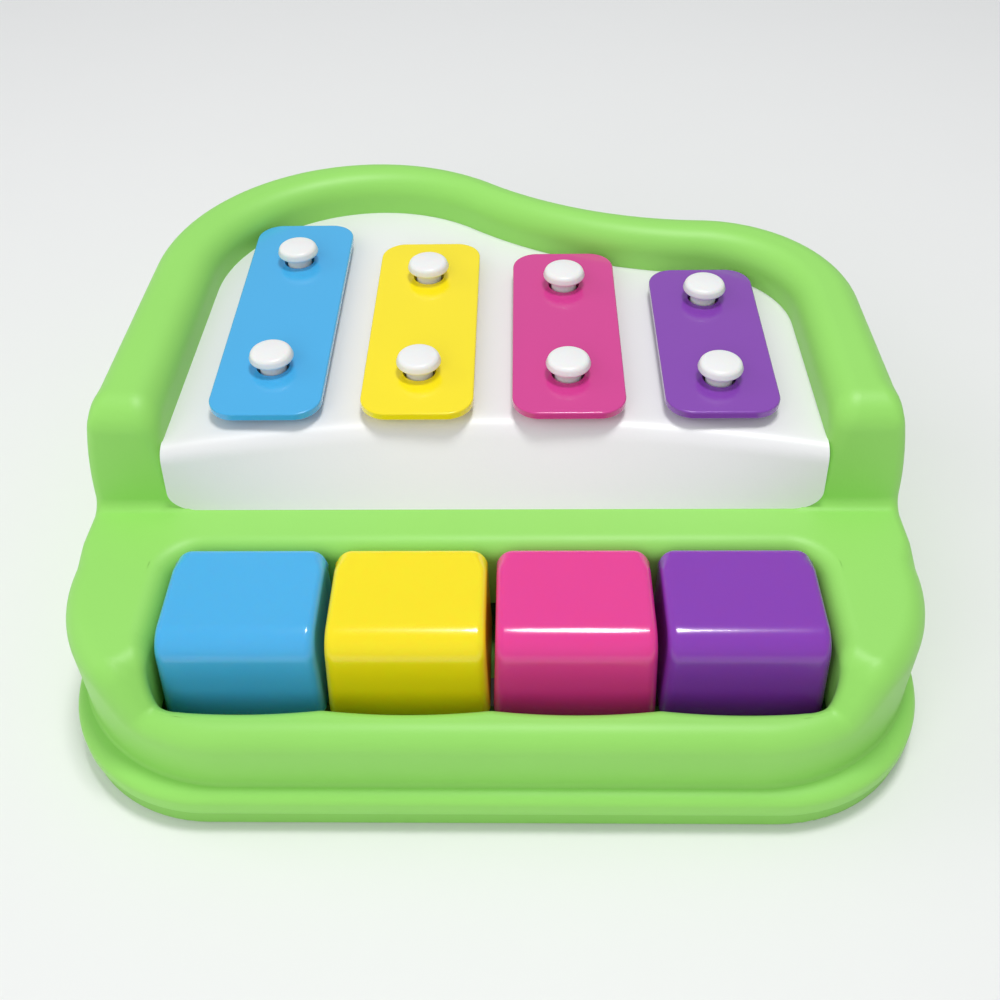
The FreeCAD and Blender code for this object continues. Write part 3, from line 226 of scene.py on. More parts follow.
# front half: from the left side round both front corners to the right side, and in to the key well's edge
SEAM_Y, WELL_SIDE, WELL_FRONT, WELL_BACK, WELL_CORNER, BACK_CORNER = 58.0, 91.0, 16.0, 62.8, 8.0, 8.0
LEFT_RUN, RIGHT_RUN, SKIRT, KEY_PITCH, MOUTH_START, MOUTH_RUN = 0, 4, 20.0, 44.5, 18.0, 14.0
RAIL_SWELL, RAIL_DIP, RAIL_DEPTH, RAIL_END, RAIL_FADE = 0.5, 1.4, 6.0, 88.0, 8.0
SLOPE_FOOT, SLOPE_WAY = np.array((88.0, 16.6)), np.array((0.66, 0.751))


def along(plan):
    """Place on the side profile of a point on the rail or a cheek. The slope's foot slants from the well's
    front corner out to the case's corner, so this is the distance past that line."""
    past = np.stack((np.abs(plan[..., 0]), plan[..., 1]), -1) - SLOPE_FOOT
    return SLOPE_START + past[..., 0] * SLOPE_WAY[0] + past[..., 1] * SLOPE_WAY[1]


def climb(plan):
    """Way in plan in which the slope climbs: outwards and back on both sides."""
    return np.stack((np.sign(plan[:, 0]) * SLOPE_WAY[0], 0 * plan[:, 0] + SLOPE_WAY[1]), -1)


def side_station(y, z, radius, run):
    """Station on a straight side of the wall whose roll has its middle at this y and height."""
    start, end = np.array(WALL_RUNS[run][:2]), np.array(WALL_RUNS[run][2:])
    inward_y = (end[0] - start[0]) / math.hypot(*(end - start))
    return run + (y - (wall_inset(z) + radius) * inward_y - start[1]) / (end[1] - start[1])


first, last = (side_station(SEAM_Y, LEDGE - FRONT_ROLL, FRONT_ROLL, run) for run in (LEFT_RUN, RIGHT_RUN))
t = np.concatenate((np.linspace(first, 1, 5)[:-1], np.linspace(1, 2, 110)[:-1], np.linspace(2, 3, 150)[:-1],
                    np.linspace(3, 4, 110)[:-1], np.linspace(4, last, 5)))
wall, inward = chain(WALL_RUNS, t)
roll_z = np.full(len(t), RAIL - FRONT_ROLL)
# the roll's middle and its height each hang on the other, so they are found by turns
for _ in range(6):
    middle = wall + (wall_inset(roll_z) + FRONT_ROLL)[:, None] * inward
    roll_z, slope = under(along(middle), FRONT_ROLL)
start_y = WELL_BACK - BACK_CORNER
well_runs = [(-WELL_SIDE, start_y, -WELL_SIDE, WELL_FRONT + WELL_CORNER),
             (WELL_CORNER - WELL_SIDE, WELL_FRONT + WELL_CORNER, WELL_CORNER, math.pi, 1.5 * math.pi),
             (WELL_CORNER - WELL_SIDE, WELL_FRONT, WELL_SIDE - WELL_CORNER, WELL_FRONT),
             (WELL_SIDE - WELL_CORNER, WELL_FRONT + WELL_CORNER, WELL_CORNER, 1.5 * math.pi, 2 * math.pi),
             (WELL_SIDE, WELL_FRONT + WELL_CORNER, WELL_SIDE, start_y)]
# each station of the wall faces one of the well's edge: side to side, corner to corner, front to front
wall_at = (first, 1, 1.5, 1.85, 2, 3, 3.15, 3.5, 4, last)
well_at = (0, 0.25, 1, 2, 2.065, 2.935, 3, 4, 4.75, 5)
well, into = chain(well_runs, np.interp(t, wall_at, well_at))
# the rail's inner edge dips towards the player in front of each key
from_key = np.abs((well[:, 0] + 2 * KEY_PITCH) % KEY_PITCH - KEY_PITCH / 2) / (KEY_PITCH / 2)
on_rail = np.clip((WELL_FRONT + RAIL_DEPTH - well[:, 1]) / RAIL_DEPTH, 0, 1)
on_rail = on_rail * np.clip((RAIL_END - np.abs(well[:, 0])) / RAIL_FADE, 0, 1)
well[:, 1] += on_rail * (RAIL_SWELL - RAIL_DIP * (1 - from_key ** 2))
mouth = (RAIL_ROLL + (WELL_ROLL - RAIL_ROLL) * np.clip((well[:, 1] - MOUTH_START) / MOUTH_RUN, 0, 1))[:, None]
lip = well - mouth * into
lip_z, lip_slope = under(along(lip), mouth[:, 0])
top_roll = outer_roll(t, middle, roll_z, up_normal(slope, climb(middle)), FRONT_ROLL)
well_ways = turning(up_normal(lip_slope, climb(lip)), stack(into, 0.0), 14)
well_roll = stack(lip, lip_z) + mouth * well_ways
share = np.linspace(0, 1, 26)[1:-1, None, None]
across = top_roll[-1, :, :2] + share * (well_roll[0, :, :2] - top_roll[-1, :, :2])
top = stack(across, np.interp(along(across), side_y, side_z))
drop = np.linspace(0, 1, 5)[1:, None]
well_wall = stack(np.broadcast_to(well, (4, len(t), 2)), lip_z + drop * (SKIRT - lip_z))
front_half = np.concatenate((flange_and_wall(t, roll_z), top_roll[1:], top, well_roll, well_wall))

# rim: up the step on the right, round both lobes and down the step on the left, and in to the deck recess
DECK_SIDE, FASCIA_END, DECK_INSET, DECK_SHIFT = 95.3, 81.6, 20.9, 2.6
BAY_START, BAY_FOOT, BAY_ROUND, LEDGE_BACK = 69.8, 74.5, 8.0, 80.0
STEP_ROLL_START, STEP_ROLL_END, RIM_FULL = 66.0, 84.0, 98.0
RECESS_RISE, RECESS_FLOOR, RECESS_BEND = (90.0, 96.0), 61.5, 1.0
small_arc, waist_arc, big_arc = lobed(DECK_INSET, DECK_SHIFT)
small_arc[3] = touching(np.array((DECK_SIDE, FASCIA_END)), 0.0, np.array(small_arc[:2]), small_arc[2], 1)
big_arc[4] = touching(np.array((-DECK_SIDE, FASCIA_END)), 0.0, np.array(big_arc[:2]), big_arc[2], -1)
recess_runs = [small_arc, waist_arc, big_arc]


def side_of_rim(run, hand):
    """Stations up one side, evenly along the side profile: the outline's station, the profile's point and
    slope there, both rolls' radii, and the recess's edge, which starts at the well and ends at the lobe."""
    lobe_end = WALL_RUNS[run][3 if hand > 0 else 1]
    edge_end = chain(recess_runs, np.array((0.0 if hand > 0 else 3.0,)))[0][0]
    run_at = np.interp((SEAM_Y, BAY_START, BAY_FOOT, RIM_FULL, lobe_end), side_y, side_run)
    at = np.concatenate([np.linspace(*ends, count)[:-1] for ends, count in
                         zip(zip(run_at[:-1], run_at[1:]), (8, 12, 125, 24))] + [run_at[-1:]])
    y, z, slope = (np.interp(at, side_run, part) for part in (side_y, side_z, side_turn))
    radius = np.interp(y, (SEAM_Y, STEP_ROLL_START, STEP_ROLL_END, RIM_FULL),
                       (FRONT_ROLL, STEP_ROLL, STEP_ROLL, RIM_ROLL))
    inner = RIM_INNER * (z - LEDGE) / (RIM - LEDGE)
    station = side_station(y + radius * np.sin(slope), z - radius * np.cos(slope), radius, run)
    edge_y = np.interp(y, (SEAM_Y, BAY_START, RIM_FULL, lobe_end),
                       (start_y, BAY_START, RIM_FULL, edge_end[1])) + inner * np.sin(slope)
    edge_x = np.interp(edge_y, (start_y, BAY_START, FASCIA_END, edge_end[1]),
                       (WELL_SIDE + WELL_ROLL, DECK_SIDE, DECK_SIDE, abs(edge_end[0])))
    edge = np.stack((hand * edge_x, edge_y), -1)
    into = np.broadcast_to((-hand, 0.0), edge.shape)
    return [station, y, z, slope, radius, inner, edge, into]


lobes = np.concatenate((np.linspace(0, 1, 70), np.linspace(1, 2, 50)[1:], np.linspace(2, 3, 90)[1:]))[1:-1]
edge, into = chain(recess_runs, lobes)
flat = np.zeros(len(lobes))
round_lobes = [lobes + RIGHT_RUN + 1, flat + PROFILE_BACK, flat + RIM, flat,
               flat + RIM_ROLL, flat + RIM_INNER, edge, into]
left_side = [part[::-1] for part in side_of_rim(LEFT_RUN, -1)]
t, y, z, slope, radius, inner, edge, into = (
    np.concatenate(parts) for parts in zip(side_of_rim(RIGHT_RUN, 1), round_lobes, left_side))
wall, inward = chain(WALL_RUNS, t)
roll_z = z - radius * np.cos(slope)
middle = wall + (wall_inset(roll_z) + radius)[:, None] * inward
top_roll = outer_roll(t, middle, roll_z, up_normal(slope), radius)
edge_z = z - inner * np.cos(slope)
floor = np.interp(y, RECESS_RISE, (LEDGE, RECESS_FLOOR))
bend = np.interp(y, RECESS_RISE, (BAY_ROUND, RECESS_BEND))
foot_turn = np.arccos(1 - np.clip((edge_z - floor) / bend, 0, 1))
tuck = bend * (1 - np.sin(foot_turn)) * np.clip((y - BAY_START) / (BAY_FOOT - BAY_START), 0, 1)
edge = edge + tuck[:, None] * into
inner_ways = turning(up_normal(slope), stack(into, 0.0), 10)
inner_roll = stack(edge - inner[:, None] * into, edge_z) + inner[:, None] * inner_ways
top = top_roll[-1] + share * (inner_roll[0] - top_roll[-1])
down = stack(np.broadcast_to(edge, (3, len(t), 2)),
             edge_z + np.array((0.3, 0.65, 1.0))[:, None] * np.minimum(floor + bend - edge_z, 0))
turn = foot_turn * np.linspace(1, 0, 10)[1:, None]
inwards = bend * (np.sin(foot_turn) - np.sin(turn))
hollow = stack(edge + inwards[..., None] * into, floor + bend * (1 - np.cos(turn)))
rim = np.concatenate((flange_and_wall(t, roll_z), top_roll[1:], top, inner_roll, down, hollow))

# ledge: the flat strip between the key well's back edge and the fascia's foot
back_runs = [(WELL_SIDE - BACK_CORNER, start_y, BACK_CORNER, 0.0, 0.5 * math.pi),
             (WELL_SIDE - BACK_CORNER, WELL_BACK, BACK_CORNER - WELL_SIDE, WELL_BACK),
             (BACK_CORNER - WELL_SIDE, start_y, BACK_CORNER, 0.5 * math.pi, math.pi)]
bay_shares = (np.array((BAY_START, BAY_FOOT)) - start_y) / (LEDGE_BACK - start_y)
t = np.sort(np.concatenate((np.linspace(0, 1, 40)[:-1], np.linspace(1, 2, 60)[:-1], np.linspace(2, 3, 40),
                            bay_shares, 3 - bay_shares)))
well, into = chain(back_runs, t)
half_far = [WELL_SIDE + WELL_ROLL, DECK_SIDE, DECK_SIDE - BAY_ROUND, DECK_SIDE - BAY_ROUND]
far_y = np.interp(t, (0, 1, 2, 3), (start_y, LEDGE_BACK, LEDGE_BACK, start_y))
far_side = np.interp(far_y, (start_y, BAY_START, BAY_FOOT, LEDGE_BACK), half_far)
far = np.stack((far_side * np.interp(t, (0, 1, 2, 3), (1, 1, -1, -1)), far_y), -1)
lip = well - WELL_ROLL * into
strip = stack(far + np.linspace(0, 1, 10)[:-1, None, None] * (lip - far), LEDGE)
well_ways = turning(up_normal(0 * t), stack(into, 0.0), 14)
roll_foot = LEDGE - WELL_ROLL
well_roll = stack(lip, roll_foot) + WELL_ROLL * well_ways
well_wall = stack(np.broadcast_to(well, (4, len(t), 2)), roll_foot + drop * (SKIRT - roll_foot))
ledge = np.concatenate((strip, well_roll, well_wall))


def build(name, grids, body, nodes, material, keep=None):
    """One object from grids of points in millimetres: each point joins its neighbours in quads, points that
    fall together become one, a quad with a closed side becomes a triangle, and keep picks faces by middle."""
    ids, total = [], 0
    for grid in grids:
        rows, columns = grid.shape[:2]
        number = total + np.arange(rows * columns).reshape(rows, columns)
        around = (number[:-1, :-1], number[:-1, 1:], number[1:, 1:], number[1:, :-1])
        ids.append(np.stack(around, -1).reshape(-1, 4))
        total += rows * columns
    points = np.concatenate([grid.reshape(-1, 3) for grid in grids])
    points, same = np.unique(np.round(points, 4), axis=0, return_inverse=True)
    quads = same.reshape(-1)[np.concatenate(ids)]
    if keep is not None:
        quads = quads[keep(points[quads].mean(1))]
    double = quads == np.roll(quads, -1, axis=1)
    whole = quads[double.sum(1) == 0]
    part = double.sum(1) == 1
    triangles = quads[part][~double[part]].reshape(-1, 3)
    mesh = bpy.data.meshes.new(name)
    mesh.from_pydata((points - (0, HALF_DEPTH, 0)) / 1000, [], whole.tolist() + triangles.tolist())
    mesh.polygons.foreach_set("use_smooth", np.ones(len(mesh.polygons), bool))
    mesh.set_sharp_from_angle(angle=math.radians(50))
    mesh.materials.append(material)
    piece = bpy.data.objects.new(name, mesh)
    bpy.context.scene.collection.objects.link(piece)
    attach(piece, body)
    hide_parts(*nodes)
    return piece


def linear(red, green, blue):
    """Scene colour of a colour seen on a screen, given in 0 to 255: the standard two-part curve."""
    seen = np.array((red, green, blue)) / 255
    return (*np.where(seen < 0.04045, seen / 12.92, ((seen + 0.055) / 1.055) ** 2.4), 1.0)


def moulded_skin():
    """Shader group for moulded and painted surfaces: slow noise shifts the colour a little, a second noise
    shifts the gloss, and a fine noise is read as height for a faint grain."""
    group = bpy.data.node_groups.new("moulded skin", "ShaderNodeTree")
    sockets = (("INPUT", "Colour", "Color"), ("INPUT", "Gloss", "Float"), ("INPUT", "Cloud", "Float"),
               ("INPUT", "Grain", "Float"), ("INPUT", "Grain size", "Float"),
               ("OUTPUT", "Colour", "Color"), ("OUTPUT", "Roughness", "Float"),
               ("OUTPUT", "Normal", "Vector"))
    for side, name, kind in sockets:
        group.interface.new_socket(name, in_out=side, socket_type="NodeSocket" + kind)
    add, link = group.nodes.new, group.links.new
    given, result, place = add("NodeGroupInput"), add("NodeGroupOutput"), add("ShaderNodeTexCoord")
    slow, patch, fine = (add("ShaderNodeTexNoise") for _ in range(3))
    for noise, size, detail in ((slow, 26.0, 2.0), (patch, 70.0, 4.0), (fine, 1.0, 2.0)):
        noise.inputs["Scale"].default_value = size
        noise.inputs["Detail"].default_value = detail
        link(place.outputs["Object"], noise.inputs["Vector"])
    link(given.outputs["Grain size"], fine.inputs["Scale"])
    spread = add("ShaderNodeMath")
    spread.operation = "MULTIPLY_ADD"
    link(slow.outputs[0], spread.inputs[0])
    link(given.outputs["Cloud"], spread.inputs[1])
    spread.inputs[2].default_value = 1.0
    centred = add("ShaderNodeMath")
    centred.operation = "MULTIPLY_ADD"
    link(given.outputs["Cloud"], centred.inputs[0])
    centred.inputs[1].default_value = -0.5
    link(spread.outputs[0], centred.inputs[2])
    tint = add("ShaderNodeHueSaturation")
    link(given.outputs["Colour"], tint.inputs["Color"])
    link(centred.outputs[0], tint.inputs["Value"])
    link(tint.outputs["Color"], result.inputs["Colour"])
    gloss = add("ShaderNodeMath")
    gloss.operation = "MULTIPLY_ADD"
    link(patch.outputs[0], gloss.inputs[0])
    gloss.inputs[1].default_value = 0.08
    link(given.outputs["Gloss"], gloss.inputs[2])
    link(gloss.outputs[0], result.inputs["Roughness"])
    bump = add("ShaderNodeBump")
    bump.inputs["Distance"].default_value = 0.0002
    link(given.outputs["Grain"], bump.inputs["Strength"])
    link(fine.outputs[0], bump.inputs["Height"])
    link(bump.outputs["Normal"], result.inputs["Normal"])
    return group


SKIN = moulded_skin()


def surface(name, colour, gloss, cloud=0.06, grain=0.1, grain_size=900.0, **settings):
    """Material for one moulded or painted piece: the shared skin group feeds a Principled shader."""
    material = bpy.data.materials.new(name)
    material.use_nodes = True
    tree = material.node_tree
    shader = tree.nodes["Principled BSDF"]
    skin = tree.nodes.new("ShaderNodeGroup")
    skin.node_tree = SKIN
    values = {"Colour": colour, "Gloss": gloss, "Cloud": cloud, "Grain": grain, "Grain size": grain_size}
    for socket, given in values.items():
        skin.inputs[socket].default_value = given
    tree.links.new(skin.outputs["Colour"], shader.inputs["Base Color"])
    tree.links.new(skin.outputs["Roughness"], shader.inputs["Roughness"])
    tree.links.new(skin.outputs["Normal"], shader.inputs["Normal"])
    for socket, given in settings.items():
        shader.inputs[socket.replace("_", " ")].default_value = given
    return material


shell_green = surface("shell green", linear(152, 221, 102), 0.42, cloud=0.05, grain=0.16, grain_size=1400.0)
CASE_NODES = ["top_shell", "rim_left", "rim_right", "rim_tail", "rim_back", "rim_waist"]
build("upper_case", [front_half, rim, ledge], "case", CASE_NODES, shell_green)

# Base tray. The shallow lower half of the case in the same green, set in under the flange so that a shadow
# line shows at the joint; its green is painted a little darker as painted shade under the flange. Its feet
# and ribs are moulded in.
# the tray's green is the shell's green painted darker, as painted shade under the flange
base_green_painted_shade = surface("base green painted shade", linear(138, 206, 88), 0.4, cloud=0.05, grain=0.16, grain_size=1400.0)


def dress(node, material):
    """Give a solid that keeps its own shape a better material."""
    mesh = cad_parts[node].data
    mesh.materials.clear()
    mesh.materials.append(material)


dress("base_tray", base_green_painted_shade)

# Deck panel. A white satin moulding: a flat deck for the bars, and a fascia whose foot is straight and whose
# top edge bows back, so that it leans most in the middle. It drops into the recess and is screwed from below.
DECK_TOP, FASCIA_FOOT, FASCIA_MIDDLE, FASCIA_SIDE, CREST = 63.5, 78.4, 94.8, 95.5, 5.0
DECK_HALF, DECK_BACK, DECK_UNDER, FASCIA_TUCK, FASCIA_GAP, RETURN = 97.0, 217.0, 2.5, 0.6, 0.25, 4.0
WINDOW_HALF, WINDOW_FRONT, WINDOW_BACK, HOLE_HALF = 7.0, 11.0, 7.0, 4.6
BAR_FRONT, STILL_POINTS = 91.6, (0.22, 0.78)
BAR_LENGTHS = {"blue": 105.0, "yellow": 92.2, "pink": 85.3, "purple": 74.8}


def key_x(colour):
    """Plan x of a colour's bar: even steps of the pitch about the middle, in the order of the lengths."""
    return (list(BAR_LENGTHS).index(colour) - 1.5) * KEY_PITCH


bow = (FASCIA_SIDE ** 2 + (FASCIA_MIDDLE - FASCIA_END) ** 2) / (2 * (FASCIA_MIDDLE - FASCIA_END))


def crest_y(x):
    """Plan y of the fascia's top edge: a circle through both ends and the middle."""
    return FASCIA_MIDDLE - bow + np.sqrt(bow ** 2 - x ** 2)


def deck_panel():
    """Rows up the fascia, round its crest and back over the deck. A row's half width follows the lower round
    corners, the fascia is ruled from its foot to the crest's arc, and the crest is a parabola between them.
    A short return runs back from each side edge."""
    across = np.linspace(-1, 1, 181)
    turn = np.linspace(0, math.pi / 2, 12)
    corner = BAY_ROUND - FASCIA_GAP
    low_z = LEDGE + corner * (1 - np.cos(turn))
    low_half = FASCIA_SIDE - corner * (1 - np.sin(turn))
    rise = np.concatenate(([LEDGE - FASCIA_TUCK], low_z, np.linspace(low_z[-1], DECK_TOP, 16)[1:]))[:, None]
    half = np.concatenate(([low_half[0]], low_half, np.full(15, FASCIA_SIDE)))[:, None]
    x = across * half
    share = (rise - LEDGE) / (DECK_TOP - LEDGE)
    reach = np.sqrt((crest_y(x) - FASCIA_FOOT) ** 2 + (DECK_TOP - LEDGE) ** 2)
    share = share * (1 - CREST / reach)
    fascia_y = FASCIA_FOOT + share * (crest_y(x) - FASCIA_FOOT)
    fascia = np.stack((x, fascia_y, LEDGE + share * (DECK_TOP - LEDGE)), -1)
    x = across * FASCIA_SIDE
    middle = np.stack((x, crest_y(x), 0 * x + DECK_TOP), -1)
    after = middle + (0, CREST, 0)
    q = np.linspace(0, 1, 12)[1:, None, None]
    crest = (1 - q) ** 2 * fascia[-1] + 2 * q * (1 - q) * middle + q ** 2 * after
    q = np.linspace(0, 1, 90)[1:, None]
    deck_y = after[:, 1] + q * (DECK_BACK - after[:, 1])
    deck = stack(np.stack((np.broadcast_to(across * DECK_HALF, deck_y.shape), deck_y), -1), DECK_TOP)
    front = np.concatenate((fascia, crest))
    returns = [np.stack((front[:, side] + (0, back, 0), front[:, side] + (0, RETURN - back, 0)), 1)
               for side, back in ((0, RETURN), (-1, 0))]
    return [np.concatenate((front, deck))] + returns


def deck_faces(middle):
    """Faces to keep: inside the recess's edge with a margin that hides under the rim, and clear of the
    hammer windows and pin holes that the bars and cushions cover."""
    x, y, z = middle.T
    back = [middle_y + side * np.sqrt(np.maximum((radius + side * DECK_UNDER) ** 2 - (x - middle_x) ** 2, 0))
            for (middle_x, middle_y, radius, *_), side in ((big_arc, 1), (waist_arc, -1), (small_arc, 1))]
    big_end = big_arc[0] + big_arc[2] * math.cos(big_arc[3])
    small_end = small_arc[0] + small_arc[2] * math.cos(small_arc[4])
    kept = y < np.where(x < big_end, back[0], np.where(x > small_end, back[2], back[1]))
    on_deck = z > DECK_TOP - 0.1
    for colour, length in BAR_LENGTHS.items():
        off = np.abs(x - key_x(colour))
        bar_middle = BAR_FRONT + length / 2
        in_window = (off < WINDOW_HALF) & (y > bar_middle - WINDOW_FRONT) & (y < bar_middle + WINDOW_BACK)
        kept &= ~(in_window & on_deck)
        for share in STILL_POINTS:
            in_hole = (off < HOLE_HALF) & (np.abs(y - BAR_FRONT - share * length) < HOLE_HALF)
            kept &= ~(in_hole & on_deck)
    return kept


deck_white = surface("deck white", linear(238, 238, 237), 0.3, cloud=0.03, grain=0.1, grain_size=1500.0)
build("deck_insert", deck_panel(), "case", ["deck_panel"], deck_white, deck_faces)

# Chime bars. Steel strips in hard gloss paint, one colour each, on soft rings over the deck. Their solids are
# already the right shape, so they keep them.
BAR_COLOURS = {"blue": (70, 176, 232), "yellow": (252, 230, 20),
               "pink": (214, 62, 146), "purple": (134, 66, 176)}
for colour, seen in BAR_COLOURS.items():
    paint = surface("bar " + colour, linear(*seen), 0.16, cloud=0.04, grain=0.05, grain_size=500.0,
                    Coat_Weight=0.6, Coat_Roughness=0.08)
    dress("bar_" + colour, paint)
cushion_foam = surface("cushion foam", linear(120, 118, 114), 0.8, cloud=0.2, grain=0.5)
for colour in BAR_COLOURS:
    dress("cushions_" + colour, cushion_foam)

# Push pins. White moulded mushrooms that hold each bar at its two still points: a round button head with a
# soft edge on a thick shank, which goes through the bar's loose hole, the soft ring and the deck.
PIN_SHANK, PIN_HEAD, PIN_DEPTH, PIN_RISE, PIN_CAP, BAR_TOP = 4.0, 6.7, 9.0, 3.0, 3.3, 69.0


def pin(x, y):
    """A profile of radius and height turned about the pin's upright axis: shank, fillet under the head, a
    small low edge, a drafted side, a broad top edge and a crown that falls with the square of the radius."""
    quarter, low = np.linspace(0, math.pi / 2, 9), np.linspace(-math.pi / 2, 0, 5)
    crown = np.linspace(1, 0, 9)[1:]
    fillet, low_edge, draft, high_edge, dome = 0.8, 0.8, 0.3, 1.5, 0.4
    crown_radius, top = PIN_HEAD - draft - high_edge, PIN_RISE + PIN_CAP
    r = np.concatenate(([PIN_SHANK, PIN_SHANK], PIN_SHANK + fillet * (1 - np.cos(quarter)),
                        PIN_HEAD - low_edge + low_edge * np.cos(low),
                        crown_radius + high_edge * np.cos(quarter), crown_radius * crown))
    z = np.concatenate(([-PIN_DEPTH, 1.0], PIN_RISE - fillet + fillet * np.sin(quarter),
                        PIN_RISE + low_edge * (1 + np.sin(low)),
                        top - dome - high_edge + high_edge * np.sin(quarter), top - dome * crown ** 2))
    angle = np.linspace(0, 2 * math.pi, 65)
    plan = np.stack((x + r[:, None] * np.cos(angle), y + r[:, None] * np.sin(angle)), -1)
    return stack(plan, BAR_TOP + z[:, None])


pin_white = surface("pin white", linear(238, 238, 236), 0.26, cloud=0.03, grain=0.08, grain_size=700.0,
                    Subsurface_Weight=0.15, Subsurface_Scale=0.002)
for colour, length in BAR_LENGTHS.items():
    for end, share in zip(("front", "rear"), STILL_POINTS):
        name = "pin_%s_%s" % (colour, end)
        mushroom = pin(key_x(colour), BAR_FRONT + share * length)
        build("look_" + name, [mushroom], "case", [name], pin_white)

# Keys. Four hollow caps in gloss plastic, each screwed to its lever: a leaning front, a broad round front
# edge, a flat top just above the ledge and softer rounds at the sides and back.
KEY_FRONT, KEY_BACK, KEY_TOP, KEY_BOTTOM, KEY_HALF = 23.4, 61.2, 45.5, 18.5, 22.2
KEY_LEAN, KEY_DRAFT, KEY_FRONT_ROUND, KEY_BACK_ROUND, CAP_PITCH = 2.4, 0.9, 8.0, 2.6, 45.3
FRONT_EDGE, TOP_EDGE, BACK_EDGE = 3.0, 2.2, 4.6


def key_outline():
    """Side outline of a key from its front foot over the top to its heel: y, z, inward normal and the radius
    of the side edge. Two arcs are joined by straight runs, and the edge is finest along the top and widest
    at the back."""
    lean = math.atan2(KEY_LEAN, KEY_TOP - KEY_BOTTOM)
    arc_z = KEY_TOP - KEY_FRONT_ROUND
    arc_y = KEY_FRONT + (arc_z - KEY_BOTTOM) * math.tan(lean) + KEY_FRONT_ROUND / math.cos(lean)
    front, back = np.linspace(math.pi - lean, math.pi / 2, 24), np.linspace(math.pi / 2, 0, 14)
    turn = np.concatenate((front[:1], front, back, back[-1:]))
    counts = (len(front) + 1, len(back) + 1)
    middle_y = np.repeat((arc_y, KEY_BACK - KEY_BACK_ROUND), counts)
    middle_z = np.repeat((arc_z, KEY_TOP - KEY_BACK_ROUND), counts)
    radius = np.repeat((KEY_FRONT_ROUND, KEY_BACK_ROUND), counts)
    y, z = middle_y + radius * np.cos(turn), middle_z + radius * np.sin(turn)
    y[0], z[0], y[-1], z[-1] = KEY_FRONT, KEY_BOTTOM, KEY_BACK, KEY_BOTTOM
    # the foot is point 0, the front arc 1 to 24, the back arc 25 to 38 and the heel 39
    at = np.concatenate((np.linspace(0, 1, 12)[:-1], np.arange(1, 24), np.linspace(24, 25, 25)[:-1],
                         np.arange(25, 38), np.linspace(38, 39, 12)))
    edge = np.interp(at, (1, 24, 24.8, 25.0), (FRONT_EDGE, TOP_EDGE, TOP_EDGE, BACK_EDGE))
    parts = (y, z, -np.cos(turn), -np.sin(turn))
    return [np.interp(at, np.arange(len(turn)), part) for part in parts] + [edge]


def key_cap(x):
    """Columns from the left side to the right: the side is the outline moved in by its edge radius and shrunk
    to its middle, then the edge's arc carries it out to the full outline. Half width falls with height."""
    y, z, normal_y, normal_z, edge = key_outline()
    turn = np.linspace(0, math.pi / 2, 12)[:, None]
    inset, reach = edge * (1 - np.sin(turn)), edge * (1 - np.cos(turn))
    ring = np.stack((reach, y + inset * normal_y, z + inset * normal_z), -1)
    share = np.linspace(0, 1, 12)[1:, None]
    ring = np.concatenate((ring, ring[:, -1:] + share * (ring[:, :1] - ring[:, -1:])), 1)
    middle = np.array((0, (KEY_FRONT + KEY_BACK) / 2, (KEY_TOP + KEY_BOTTOM) / 2))
    shrink = np.linspace(0, 1, 8)[:-1, None, None]
    ring = np.concatenate((middle + shrink * (ring[0] - middle), ring))
    half = KEY_HALF - KEY_DRAFT * (ring[..., 2] - KEY_BOTTOM) / (KEY_TOP - KEY_BOTTOM) - ring[..., 0]
    left = np.stack((-half, ring[..., 1], ring[..., 2]), -1)
    right = np.stack((half, ring[..., 1], ring[..., 2]), -1)[::-1]
    share = np.linspace(0, 1, 10)[1:-1, None, None]
    between = left[-1] + share * (right[0] - left[-1])
    return np.concatenate((left, between, right)).transpose(1, 0, 2) + (x, 0, 0)


KEY_COLOURS = {"blue": (74, 178, 232), "yellow": (252, 228, 16),
               "pink": (232, 62, 150), "purple": (136, 58, 180)}
for colour, seen in KEY_COLOURS.items():
    gloss = surface("key " + colour, linear(*seen), 0.17, cloud=0.03, grain=0.05, grain_size=300.0,
                    Coat_Weight=0.4, Coat_Roughness=0.06, Subsurface_Weight=0.25, Subsurface_Scale=0.006)
    cap = key_cap(key_x(colour) * CAP_PITCH / KEY_PITCH)
    build("key_shape_" + colour, [cap], "key_" + colour, ["key_cap_" + colour], gloss)

# Works under the deck. Grey moulded levers with rubber hammer heads turn on one steel rod, held by clips, and
# rest on felt strips; small steel screws hold the keys, the deck and the case.
lever_grey = surface("lever grey", linear(206, 208, 204), 0.42)
hammer_black = surface("hammer rubber", linear(58, 58, 60), 0.62, grain=0.3)
felt_grey = surface("felt", linear(122, 122, 118), 0.9, cloud=0.3, grain=1.0, grain_size=2200.0)
steel = surface("steel", linear(190, 192, 196), 0.26, cloud=0.05, grain=0.1, Metallic=1.0)
for colour in KEY_COLOURS:
    dress("key_lever_" + colour, lever_grey)
    dress("hammer_head_" + colour, hammer_black)
    dress("key_screws_" + colour, steel)
for node in ("pivot_rod", "rod_clips", "case_screws", "deck_screws"):
    dress(node, steel)
for node in ("key_stop_strip", "hammer_rest_strip"):
    dress(node, felt_grey)

# Return springs. Five turns of steel wire stand between the tray's floor and each lever, with closed flat
# ends.
SPRING_Y, SPRING_RADIUS, SPRING_WIRE, SPRING_LOW, SPRING_HIGH = 69.0, 3.6, 0.8, 2.6, 13.9
SPRING_TURNS, CLOSED_TURN, CLOSED_RISE = 5, 0.6, 0.06


